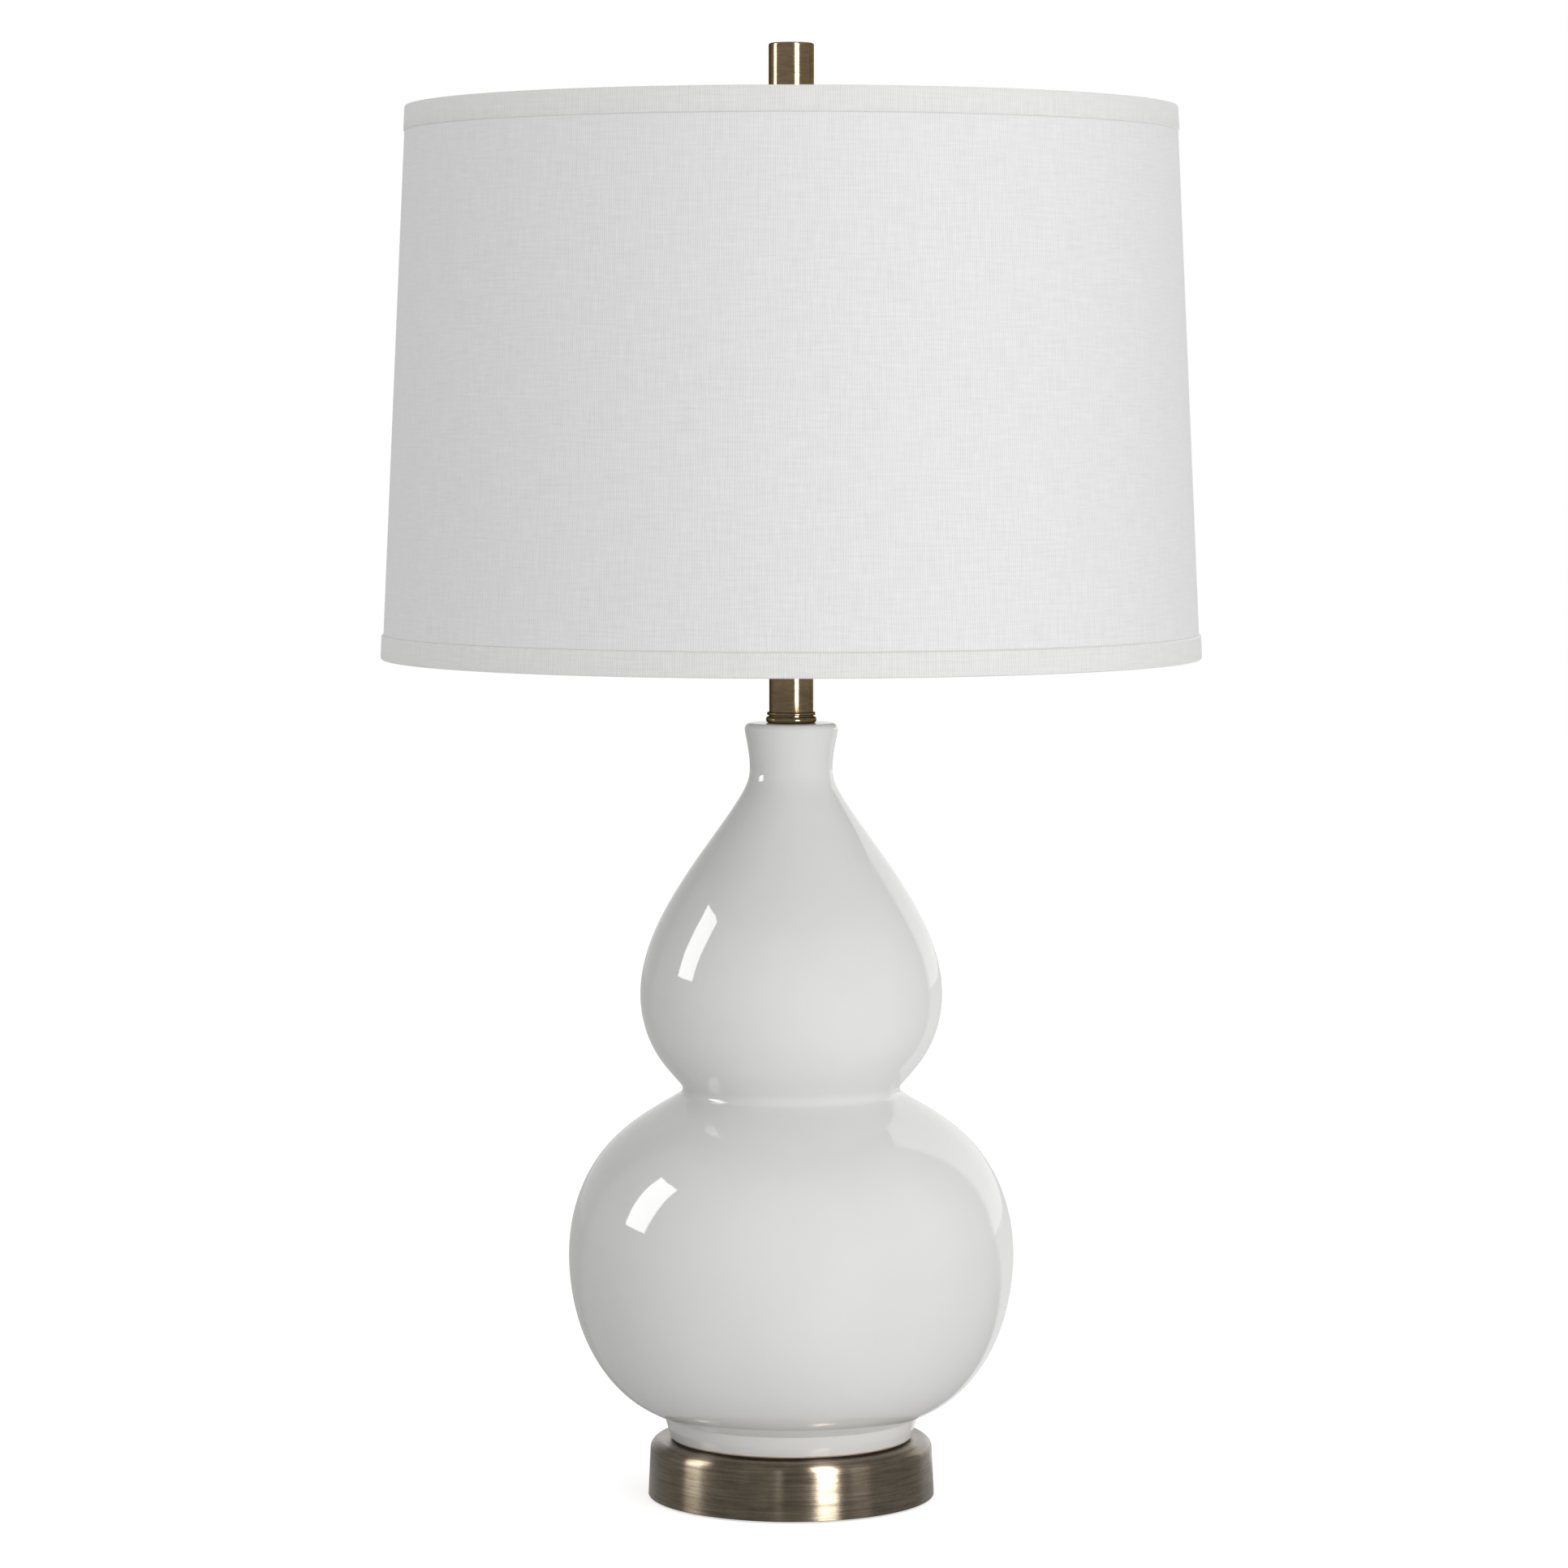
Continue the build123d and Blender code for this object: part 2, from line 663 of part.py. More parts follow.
def globe_outline(depth):
    """The side of the globe, from its neck to its crown, at a depth under its outer face."""
    radius = BULB_R - depth
    centre = BULB_LOW_Z + BULB_H - BULB_R
    low = radians(-35)
    middle = radians(27.5)
    join = at(radius * cos(low), centre + radius * sin(low))
    start = at(BULB_BASE_R - depth, BULB_BASE_TOP_Z + depth)
    neck_r, neck_z = BULB_NECK
    neck = Spline(start, at(neck_r - depth, neck_z), join, tangents=[at(0, 1), at(-sin(low), cos(low))])
    crown = ThreePointArc(join, at(radius * cos(middle), centre + radius * sin(middle)), at(0, centre + radius))
    return [neck, crown]


def globe_solid(depth):
    """Everything inside the globe's outline at a depth."""
    side = globe_outline(depth)
    start = side[0] @ 0
    base = Polyline(side[1] @ 1, at(0, start.Z), start)
    return filled([*side, base])


def bulb_globe():
    stem = rod(BULB_BASE_R - 0.5, BULB_BASE_TOP_Z - 3, BULB_BASE_TOP_Z)
    return globe_solid(0) + stem - globe_solid(GLASS_T)


def bulb_base():
    inner = BULB_BASE_R - 0.5
    low = BULB_BASE_LOW_Z
    points = [
        (BULB_BASE_LOW_R + 0.3, low),
        (BULB_BASE_R, low + 3),
        (BULB_BASE_R, BULB_BASE_TOP_Z),
        (inner, BULB_BASE_TOP_Z),
        (inner, low + 3.2),
        (BULB_BASE_LOW_R, low + 0.6),
        (BULB_BASE_LOW_R, low),
    ]
    return turned(points, [0, 1.0, 0, 0, 0.5, 0, 0])


def bulb_insulator():
    low = BULB_LOW_Z + BULB_TIP_T
    points = [
        (0, low),
        (BULB_TIP_R, low),
        (BULB_BASE_LOW_R, BULB_BASE_LOW_Z),
        (BULB_BASE_LOW_R, BULB_BASE_LOW_Z + 0.6),
        (0, BULB_BASE_LOW_Z + 0.6),
    ]
    return turned(points)


def bulb_contact():
    top = BULB_LOW_Z + BULB_TIP_T
    return turned([(0, BULB_LOW_Z), (BULB_TIP_R, BULB_LOW_Z), (BULB_TIP_R, top), (0, top)], [0, 0.8, 0, 0])


# ---- Shade ----


def shade_radius(height):
    """The outer radius of the cloth, which narrows upwards."""
    share = (height - SHADE_BOTTOM_Z) / (SHADE_TOP_Z - SHADE_BOTTOM_Z)
    return SHADE_BOTTOM_R + (SHADE_TOP_R - SHADE_BOTTOM_R) * share


def layer(outside, inside, low, high):
    """The section of a layer of the shade, between two distances from the cloth's outer face."""
    corners = [
        (shade_radius(low) + outside, low),
        (shade_radius(high) + outside, high),
        (shade_radius(high) - inside, high),
        (shade_radius(low) - inside, low),
    ]
    return Polygon(*corners, align=None)


def spun(section):
    """Turns a section, drawn as radius and height in the XY plane, about the lamp's axis."""
    return revolve(Plane.XZ.location * section, Axis.Z)


def wall_edges():
    """The heights of the bottom and the top edge of the cloth and the liner, inside the trims."""
    return SHADE_BOTTOM_Z + BOTTOM_TRIM_T, SHADE_TOP_Z - TOP_TRIM_T


def shade_fabric():
    return spun(layer(0, CLOTH_T, *wall_edges()))


def shade_liner():
    return spun(layer(-CLOTH_T, CLOTH_T + LINER_T, *wall_edges()))


def ring_centre(up):
    """The radius and height of the wire ring inside the shade's top edge, or inside its bottom one."""
    low, high = wall_edges()
    height = high - RING_WIRE_R if up > 0 else low + RING_WIRE_R
    return shade_radius(height) - CLOTH_T - LINER_T - RING_WIRE_R - RING_GAP, height


def shade_ring(up):
    return spun(Pos(*ring_centre(up)) * Circle(RING_WIRE_R))


def shade_trim(up):
    """Cloth folded over the edge of the shade and tucked round its wire ring."""
    thickness = TOP_TRIM_T if up > 0 else BOTTOM_TRIM_T
    edge = SHADE_TOP_Z if up > 0 else SHADE_BOTTOM_Z
    rim = shade_radius(edge)
    wall = CLOTH_T + LINER_T
    ring_r, ring_z = ring_centre(up)
    band = layer(thickness, wall, min(edge, edge - up * TRIM_H), max(edge, edge - up * TRIM_H))
    corner = band.vertices().sort_by_distance((rim + thickness, edge))[0]
    over = Pos((ring_r + rim) / 2, (ring_z + edge) / 2) * Rectangle(rim - ring_r, abs(edge - ring_z))
    tuck = Pos(ring_r, ring_z) * Circle(RING_WIRE_R + thickness)
    ring = Pos(ring_r, ring_z) * Circle(RING_WIRE_R)
    beside = Pos(ring_r + RING_WIRE_R, ring_z) * Rectangle(2 * RING_WIRE_R, RING_WIRE_R)
    section = fillet(corner, 0.9 * thickness) + over + tuck - ring - beside
    trim = spun(section - layer(0, wall, *wall_edges()))
    return trim - spider_arms() if up > 0 else trim


def spider_washer():
    seat = SADDLE_Z + HARP_H
    return tube(SPIDER_WASHER_R, SPIDER_HOLE_R, seat, seat + SPIDER_WASHER_T)


def spider_arms():
    """Three wires from the washer out and up to the shade's top ring."""
    low = SADDLE_Z + HARP_H + SPIDER_WASHER_T + ARM_R
    ring_r, ring_z = ring_centre(1)
    points = [at(ARM_START_R, low), at(ARM_BENDS_R[0], low), at(ARM_BENDS_R[1], ring_z), at(ring_r, ring_z)]
    path = FilletPolyline(*points, radius=6.0)
    arm = sweep(Plane(path @ 0, z_dir=path % 0) * Circle(ARM_R), path=path) - shade_ring(1)
    arms = [Rot(0, 0, angle) * arm for angle in ARM_ANGLES]
    return arms[0] + arms[1] + arms[2]


# ---- Finial ----


def finial_body():
    low = SADDLE_Z + HARP_H + SPIDER_WASHER_T
    points = [
        (INSERT_R, low),
        (FINIAL_R, low),
        (FINIAL_R, FINIAL_TOP_Z),
        (0, FINIAL_TOP_Z),
        (0, INSERT_TOP_Z),
        (INSERT_R, INSERT_TOP_Z),
    ]
    return turned(points, [0, 0.5, FINIAL_EDGE_R, 0, 0, 0])


def finial_insert():
    low = SADDLE_Z + HARP_H + SPIDER_WASHER_T
    return tube(INSERT_R, STUD_THREAD_R + THREAD_GAP, low, INSERT_TOP_Z)


def lamp():
    """Every sub-part of the lamp under its name, from the table up."""
    parts = {
        "base_pad": base_pad(),
        "base_cover": base_cover(),
        "base_drum": base_drum(),
        "base_weight": base_weight(),
        "cord_bushing": cord_bushing(),
        **pipe_stack(),
        "lamp_pipe": lamp_pipe(),
        "foot_gasket": foot_gasket(),
        "foot_grommet": foot_grommet(),
        "ceramic_body": ceramic_body(),
        "neck_grommet": neck_grommet(),
        "neck_collar": neck_collar(),
        "neck_tube": neck_tube(),
        "neck_cap": neck_cap(),
        "neck_locknut": neck_locknut(),
        "harp_saddle": harp_saddle(),
        "harp_wire": harp_wire(),
        "harp_sleeve_left": harp_sleeve(-1),
        "harp_sleeve_right": harp_sleeve(1),
        "harp_stud": harp_stud(),
        "socket_cap": socket_cap(),
        "socket_set_screw": socket_set_screw(),
        "socket_cap_liner": socket_cap_liner(),
        "socket_shell": socket_shell(),
        "socket_shell_liner": socket_shell_liner(),
        "socket_block": socket_block(),
        "terminal_screws": terminal_screws(),
        "socket_screw_shell": socket_screw_shell(),
        "socket_contact": socket_contact(),
        "switch_spindle": switch_spindle(),
        "switch_knob": switch_knob(),
        "bulb_globe": bulb_globe(),
        "bulb_base": bulb_base(),
        "bulb_insulator": bulb_insulator(),
        "bulb_contact": bulb_contact(),
        "shade_fabric": shade_fabric(),
        "shade_liner": shade_liner(),
        "shade_top_ring": shade_ring(1),
        "shade_bottom_ring": shade_ring(-1),
        "shade_top_trim": shade_trim(1),
        "shade_bottom_trim": shade_trim(-1),
        "spider_washer": spider_washer(),
        "spider_arms": spider_arms(),
        "finial_body": finial_body(),
        "finial_insert": finial_insert(),
    }
    return parts


os.makedirs("parts", exist_ok=True)
for name, shape in lamp().items():
    export_step(shape, f"parts/{name}.step")
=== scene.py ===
from math import atan2, cos, hypot, pi, radians, sin

import bmesh
import bpy
import numpy as np
from mathutils import Matrix, Vector


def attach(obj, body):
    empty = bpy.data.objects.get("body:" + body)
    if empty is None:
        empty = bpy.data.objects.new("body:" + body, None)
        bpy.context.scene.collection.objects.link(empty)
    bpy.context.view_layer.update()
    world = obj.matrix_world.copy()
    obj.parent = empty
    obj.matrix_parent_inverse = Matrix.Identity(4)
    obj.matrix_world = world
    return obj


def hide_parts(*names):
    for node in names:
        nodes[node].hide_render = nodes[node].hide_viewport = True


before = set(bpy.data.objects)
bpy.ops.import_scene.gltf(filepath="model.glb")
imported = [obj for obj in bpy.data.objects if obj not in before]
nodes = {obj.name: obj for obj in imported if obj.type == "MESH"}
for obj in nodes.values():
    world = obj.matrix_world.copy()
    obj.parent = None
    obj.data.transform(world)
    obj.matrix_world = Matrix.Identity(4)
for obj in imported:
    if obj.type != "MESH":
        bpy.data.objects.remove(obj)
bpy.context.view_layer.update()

# Double gourd table lamp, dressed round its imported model, from the table up.
# Lengths in the outlines are millimetres, as (radius, height), and MM turns them into the scene's metres.
MM = 0.001


# ---- Camera, floor and studio light ----
# A long lens stands low in front of the lamp. The floor and the room are white to the camera, and the front
# of the room is dimmer to polished metal, as it is in a studio with its lamps beside and behind the object.

CAMERA_DISTANCE = 2.6276
CAMERA_HEIGHT = 0.54916
CAMERA_ASIDE = -0.0036
CAMERA_DIP = radians(4.144)
FOCAL_IN_FRAMES = 6500 / 1932

camera = bpy.data.objects.new("camera", bpy.data.cameras.new("camera"))
camera.data.sensor_width = 36
camera.data.lens = 36 * FOCAL_IN_FRAMES
camera.data.clip_end = 50
camera.location = (CAMERA_ASIDE, -CAMERA_DISTANCE, CAMERA_HEIGHT)
camera.rotation_euler = (pi / 2 - CAMERA_DIP, 0, 0)
bpy.context.scene.collection.objects.link(camera)
bpy.context.scene.camera = camera
bpy.context.scene.view_settings.view_transform = "Standard"


def node(tree, kind, inputs=None, **settings):
    """A node with its settings, and its inputs set to a value or linked from a socket."""
    made = tree.nodes.new(kind)
    for key, value in settings.items():
        setattr(made, key, value)
    for key, value in (inputs or {}).items():
        if isinstance(value, bpy.types.NodeSocket):
            tree.links.new(value, made.inputs[key])
        else:
            made.inputs[key].default_value = value
    return made


def math(tree, operation, *values):
    """The result of a Math node on up to three values or sockets."""
    return node(tree, "ShaderNodeMath", dict(enumerate(values)), operation=operation).outputs[0]


AMBIENT = (0.62, 0.62, 0.62, 1)
FRONT_LEVEL = 0.52
REAR_LEVEL = 0.95
REAR_SLANT = 0.85


def mirrored_level(tree, direction):
    """How light the studio looks to a glossy surface: dim in front and beside, light behind, more to the right."""
    way = node(tree, "ShaderNodeSeparateXYZ", {0: direction}).outputs
    reach = math(tree, "SQRT", math(tree, "ADD", math(tree, "POWER", way["X"], 2.0),
                                    math(tree, "POWER", way["Y"], 2.0)))
    behind = math(tree, "DIVIDE", way["Y"], math(tree, "MAXIMUM", reach, 1e-4))
    right = math(tree, "DIVIDE", way["X"], math(tree, "MAXIMUM", reach, 1e-4))
    share = node(tree, "ShaderNodeMapRange", {"Value": behind, "From Min": 0.60, "From Max": 0.70},
                 interpolation_type="SMOOTHSTEP").outputs[0]
    rear = math(tree, "MULTIPLY_ADD", right, REAR_SLANT, REAR_LEVEL)
    return math(tree, "MULTIPLY_ADD", share, math(tree, "SUBTRACT", rear, FRONT_LEVEL), FRONT_LEVEL)


world = bpy.data.worlds.new("studio")
bpy.context.scene.world = world
world.use_nodes = True
room = world.node_tree
room.nodes.clear()
rays = node(room, "ShaderNodeLightPath").outputs
mirrored = math(room, "MAXIMUM", rays["Is Glossy Ray"], rays["Is Transmission Ray"])
soft_light = node(room, "ShaderNodeBackground", {"Color": AMBIENT, "Strength": 1.0})
seen_in_gloss = node(room, "ShaderNodeBackground", {
    "Color": (1, 1, 1, 1), "Strength": mirrored_level(room, node(room, "ShaderNodeTexCoord").outputs["Generated"]),
})
white_room = node(room, "ShaderNodeBackground", {"Color": (1, 1, 1, 1), "Strength": 1.0})
indirect = node(room, "ShaderNodeMixShader", {0: mirrored, 1: soft_light.outputs[0], 2: seen_in_gloss.outputs[0]})
all_rays = node(room, "ShaderNodeMixShader", {
    0: rays["Is Camera Ray"], 1: indirect.outputs[0], 2: white_room.outputs[0],
})
node(room, "ShaderNodeOutputWorld", {"Surface": all_rays.outputs[0]})

FLOOR_HALF = 6.0
floor_mesh = bpy.data.meshes.new("studio_floor")
floor_corners = [(x * FLOOR_HALF, y * FLOOR_HALF, 0) for x, y in ((-1, -1), (1, -1), (1, 1), (-1, 1))]
floor_mesh.from_pydata(floor_corners, [], [(0, 1, 2, 3)])
floor = bpy.data.objects.new("studio_floor", floor_mesh)
bpy.context.scene.collection.objects.link(floor)
floor_paper = bpy.data.materials.new("floor_paper")
floor_paper.use_nodes = True
paper = floor_paper.node_tree
paper.nodes.clear()
paper_rays = node(paper, "ShaderNodeLightPath").outputs
paper_tone = node(paper, "ShaderNodeMix", {
    "Factor": paper_rays["Is Glossy Ray"], 6: (0.8, 0.8, 0.8, 1), 7: (0.2, 0.2, 0.2, 1),
}, data_type="RGBA").outputs[2]
paper_lit = node(paper, "ShaderNodeBsdfDiffuse", {"Color": paper_tone})
paper_level = math(paper, "MULTIPLY", mirrored_level(paper, node(paper, "ShaderNodeTexCoord").outputs["Object"]),
                   math(paper, "MULTIPLY", paper_rays["Is Glossy Ray"], 0.55))
paper_glow = node(paper, "ShaderNodeEmission", {
    "Color": (1, 1, 1, 1),
    "Strength": math(paper, "MULTIPLY_ADD", paper_rays["Is Camera Ray"], 0.62, paper_level),
})
paper_sum = node(paper, "ShaderNodeAddShader", {0: paper_lit.outputs[0], 1: paper_glow.outputs[0]})
node(paper, "ShaderNodeOutputMaterial", {"Surface": paper_sum.outputs[0]})
floor_mesh.materials.append(floor_paper)


def soft_box(name, azimuth, elevation, distance, size, watts, seen_by="both", target=(0, 0, 0.3)):
    """A rectangular lamp, placed by its direction from the target: azimuth 0 is the camera's, 90 the right."""
    lamp = bpy.data.objects.new(name, bpy.data.lights.new(name, "AREA"))
    lamp.data.shape = "RECTANGLE"
    lamp.data.size, lamp.data.size_y = size
    lamp.data.energy = watts
    a, e = radians(azimuth), radians(elevation)
    away = Vector((sin(a) * cos(e), -cos(a) * cos(e), sin(e)))
    lamp.location = Vector(target) + away * distance
    lamp.rotation_euler = away.to_track_quat("Z", "Y").to_euler()
    lamp.visible_camera = False
    lamp.visible_transmission = False
    lamp.visible_diffuse = seen_by != "gloss"
    lamp.visible_glossy = seen_by != "matt"
    bpy.context.scene.collection.objects.link(lamp)
    return lamp


key_light = soft_box("key_light", 30, 0, 3.0, (1.6, 0.84), 33, seen_by="matt", target=(0, 0, 0.43))
left_window = soft_box("left_window", -90, 23, 2.2, (0.62, 1.15), 20, seen_by="gloss")
metal_lamps = (
    soft_box("front_strip", 29, 14, 2.6, (0.75, 3.8), 218, seen_by="gloss"),
)
drum_lamps = (
    soft_box("left_strip", -86, 0, 2.3, (0.65, 2.4), 17, seen_by="gloss"),
    soft_box("centre_glint", -10, 0, 2.8, (0.25, 2.4), 2.5, seen_by="gloss"),
    soft_box("right_glint", 58, 0, 2.6, (0.8, 2.4), 7, seen_by="gloss"),
)
shade_lamps = (
    soft_box("shade_fill", -105, 0, 3.0, (1.2, 1.2), 9, seen_by="matt", target=(0, 0, 0.56)),
)
metal_pieces = bpy.data.collections.new("metal_pieces")
drum_only = bpy.data.collections.new("drum_only")
shade_only = bpy.data.collections.new("shade_only")
for lamps, receivers in ((metal_lamps, metal_pieces), (drum_lamps, drum_only), (shade_lamps, shade_only)):
    for lamp in lamps:
        lamp.light_linking.receiver_collection = receivers


# ---- Base ----
# A spun brass drum, brushed round and darkened, open below. A fibreboard disc with a felt pad closes it, and
# the pad carries the lamp a little off the table.


def rounded(corners, radii, steps=6):
    """The points of an outline whose corners are rounded by arcs of these radii."""
    points = []
    for i, (corner, radius) in enumerate(zip(corners, radii)):
        here = Vector(corner)
        if not radius:
            points.append(here)
            continue
        back = (Vector(corners[i - 1]) - here).normalized()
        ahead = (Vector(corners[(i + 1) % len(corners)]) - here).normalized()
        half = back.angle(ahead) / 2
        centre = here + (back + ahead).normalized() * (radius / sin(half))
        start = here + back * (radius * cos(half) / sin(half)) - centre
        turn = start.angle_signed(here + ahead * (radius * cos(half) / sin(half)) - centre)
        for k in range(steps + 1):
            a = -turn * k / steps
            points.append(centre + Vector((start.x * cos(a) - start.y * sin(a), start.x * sin(a) + start.y * cos(a))))
    return points


def lathe_tree():
    """Geometry nodes that turn an outline, a line of points in the XZ plane, about the Z axis."""
    tree = bpy.data.node_groups.new("lathe", "GeometryNodeTree")
    face = tree.interface
    face.new_socket("Outline", in_out="INPUT", socket_type="NodeSocketGeometry")
    face.new_socket("Steps Round", in_out="INPUT", socket_type="NodeSocketInt")
    face.new_socket("Finish", in_out="INPUT", socket_type="NodeSocketMaterial")
    face.new_socket("Turned", in_out="OUTPUT", socket_type="NodeSocketGeometry")
    given = node(tree, "NodeGroupInput").outputs
    count = node(tree, "GeometryNodeAttributeDomainSize", {0: given["Outline"]}).outputs["Point Count"]
    columns = math(tree, "ADD", given["Steps Round"], 1)
    grid = node(tree, "GeometryNodeMeshGrid", {"Vertices X": columns, "Vertices Y": count})
    index = node(tree, "GeometryNodeInputIndex").outputs[0]
    row = math(tree, "MODULO", index, count)
    column = math(tree, "FLOOR", math(tree, "DIVIDE", math(tree, "ADD", index, 0.5), count))
    on_outline = node(tree, "GeometryNodeSampleIndex", {
        "Geometry": given["Outline"], "Index": row,
    }, data_type="FLOAT_VECTOR", domain="POINT")
    tree.links.new(node(tree, "GeometryNodeInputPosition").outputs[0], on_outline.inputs["Value"])
    spot = node(tree, "ShaderNodeSeparateXYZ", {0: on_outline.outputs[0]}).outputs
    angle = math(tree, "MULTIPLY", math(tree, "DIVIDE", column, given["Steps Round"]), 2 * pi)
    place = node(tree, "ShaderNodeCombineXYZ", {
        "X": math(tree, "MULTIPLY", spot["X"], math(tree, "COSINE", angle)),
        "Y": math(tree, "MULTIPLY", spot["X"], math(tree, "SINE", angle)),
        "Z": spot["Z"],
    })
    turned = node(tree, "GeometryNodeSetPosition", {"Geometry": grid.outputs["Mesh"], "Position": place.outputs[0]})
    closed = node(tree, "GeometryNodeMergeByDistance", {"Geometry": turned.outputs[0], "Distance": 2e-6})
    real = node(tree, "GeometryNodeRealizeInstances", {0: closed.outputs[0]})
    dressed = node(tree, "GeometryNodeSetMaterial", {0: real.outputs[0], "Material": given["Finish"]})
    node(tree, "NodeGroupOutput", {0: dressed.outputs[0]})
    return tree


LATHE = lathe_tree()


def applied(piece, tree, **values):
    """The plain mesh that a tree of geometry nodes makes from a piece, with its inputs set by name."""
    modifier = piece.modifiers.new(tree.name, "NODES")
    modifier.node_group = tree
    for item in tree.interface.items_tree:
        if item.in_out == "INPUT" and item.name in values:
            modifier[item.identifier] = values[item.name]
    bpy.context.view_layer.update()
    made = bpy.data.meshes.new_from_object(piece.evaluated_get(bpy.context.evaluated_depsgraph_get()))
    piece.modifiers.remove(modifier)
    piece.data = made
    return made


CREASE = 40


def outward(mesh):
    """Turns the faces outwards and shades them smooth, up to the angle of a crease."""
    work = bmesh.new()
    work.from_mesh(mesh)
    bmesh.ops.dissolve_degenerate(work, dist=1e-7, edges=work.edges)
    bmesh.ops.recalc_face_normals(work, faces=work.faces)
    work.to_mesh(mesh)
    work.free()
    mesh.shade_smooth()
    mesh.set_sharp_from_angle(angle=radians(CREASE))


def turned_piece(name, outline, finish, body, cad_nodes, slot, steps=192, closed=True):
    """A piece of revolution that rides on a body and stands for its CAD nodes."""
    points = [(x * MM, 0, z * MM) for x, z in outline]
    if closed:
        points.append(points[0])
    line = bpy.data.meshes.new(name)
    line.from_pydata(points, [(i, i + 1) for i in range(len(points) - 1)], [])
    piece = bpy.data.objects.new(name, line)
    bpy.context.scene.collection.objects.link(piece)
    outward(applied(piece, LATHE, **{"Steps Round": steps, "Finish": finish}))
    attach(piece, body)
    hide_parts(*cad_nodes)
    if slot in METALS:
        metal_pieces.objects.link(piece)
    return piece


def principled(name, color, roughness, **sockets):
    """A material with its shader's sockets set, as (material, node tree, shader)."""
    made = bpy.data.materials.new(name)
    made.use_nodes = True
    shader = made.node_tree.nodes["Principled BSDF"]
    shader.inputs["Base Color"].default_value = (*color, 1)
    shader.inputs["Roughness"].default_value = roughness
    for key, value in sockets.items():
        shader.inputs[key.replace("_", " ")].default_value = value
    return made, made.node_tree, shader


def noise(tree, vector, scale, detail=2.0, roughness=0.5):
    return node(tree, "ShaderNodeTexNoise", {
        "Vector": vector, "Scale": scale, "Detail": detail, "Roughness": roughness,
    }).outputs[0]


def between(tree, amount, low, high):
    """A colour between two, by an amount."""
    mix = node(tree, "ShaderNodeMix", {"Factor": amount, 6: (*low, 1), 7: (*high, 1)}, data_type="RGBA")
    return mix.outputs[2]


def ranged(tree, value, from_low, from_high, low, high):
    return node(tree, "ShaderNodeMapRange", {
        "Value": value, "From Min": from_low, "From Max": from_high, "To Min": low, "To Max": high,
    }).outputs[0]


def bumped(tree, shader, height, strength, distance):
    bump = node(tree, "ShaderNodeBump", {"Height": height, "Strength": strength, "Distance": distance})
    tree.links.new(bump.outputs[0], shader.inputs["Normal"])


def object_place(tree):
    return node(tree, "ShaderNodeTexCoord").outputs["Object"]


def round_lines(tree, along, across):
    """Coordinates for lines that run round the Z axis, stretched along them and fine across them."""
    spot = node(tree, "ShaderNodeSeparateXYZ", {0: object_place(tree)}).outputs
    radius = math(tree, "SQRT", math(tree, "ADD", math(tree, "POWER", spot["X"], 2.0),
                                     math(tree, "POWER", spot["Y"], 2.0)))
    safe = math(tree, "MAXIMUM", radius, 1e-4)
    return node(tree, "ShaderNodeCombineXYZ", {
        "X": math(tree, "MULTIPLY", math(tree, "DIVIDE", spot["X"], safe), along),
        "Y": math(tree, "MULTIPLY", math(tree, "DIVIDE", spot["Y"], safe), along),
        "Z": math(tree, "MULTIPLY", math(tree, "SUBTRACT", spot["Z"], radius), across),
    }).outputs[0]


def brass(name, dark, light, roughness, line_depth, anisotropic=0.0):
    """Brass, darkened and brushed round, with the lines' depth and a mottled patina."""
    made, tree, shader = principled(name, light, roughness, Metallic=1.0)
    lines = noise(tree, round_lines(tree, 1.6, 2600.0), 1.0, 3.0, 0.7)
    streaks = noise(tree, round_lines(tree, 2.5, 900.0), 1.0, 3.0, 0.6)
    patina = noise(tree, object_place(tree), 60.0, 4.0, 0.6)
    blend = math(tree, "ADD", math(tree, "MULTIPLY", streaks, 0.6), math(tree, "MULTIPLY", patina, 0.4))
    color = between(tree, ranged(tree, blend, 0.35, 0.65, 0.0, 1.0), dark, light)
    tree.links.new(color, shader.inputs["Base Color"])
    rough = ranged(tree, lines, 0.3, 0.7, roughness * 0.8, roughness * 1.2)
    tree.links.new(rough, shader.inputs["Roughness"])
    bumped(tree, shader, lines, 1.0, line_depth)
    if anisotropic:
        shader.inputs["Anisotropic"].default_value = anisotropic
        shader.inputs["Anisotropic Rotation"].default_value = 0.25
        tangent = node(tree, "ShaderNodeTangent", direction_type="RADIAL", axis="Z")
        tree.links.new(tangent.outputs[0], shader.inputs["Tangent"])
    return made


DRUM_TOP = 29.0
METALS = {"brushed_brass", "polished_brass", "harp_brass", "aluminium"}
drum_outline = rounded(
    [(71.9, 0.8), (70.6, DRUM_TOP), (4.95, DRUM_TOP), (4.95, 27.5), (69.17, 27.5), (70.4, 0.8)],
    [0.3, 5.0, 0, 0, 3.5, 0.3],
)
brushed_brass = brass("brushed_brass", (0.12, 0.097, 0.070), (0.25, 0.208, 0.155), 0.27, 9e-6, anisotropic=1.0)
INLET_Z = 11.0
INLET_HOLE_R = 5.0
drum = turned_piece("drum_shell", drum_outline, brushed_brass, "lamp_base", ["base_drum"], "brushed_brass", 256)
drum_only.objects.link(drum)


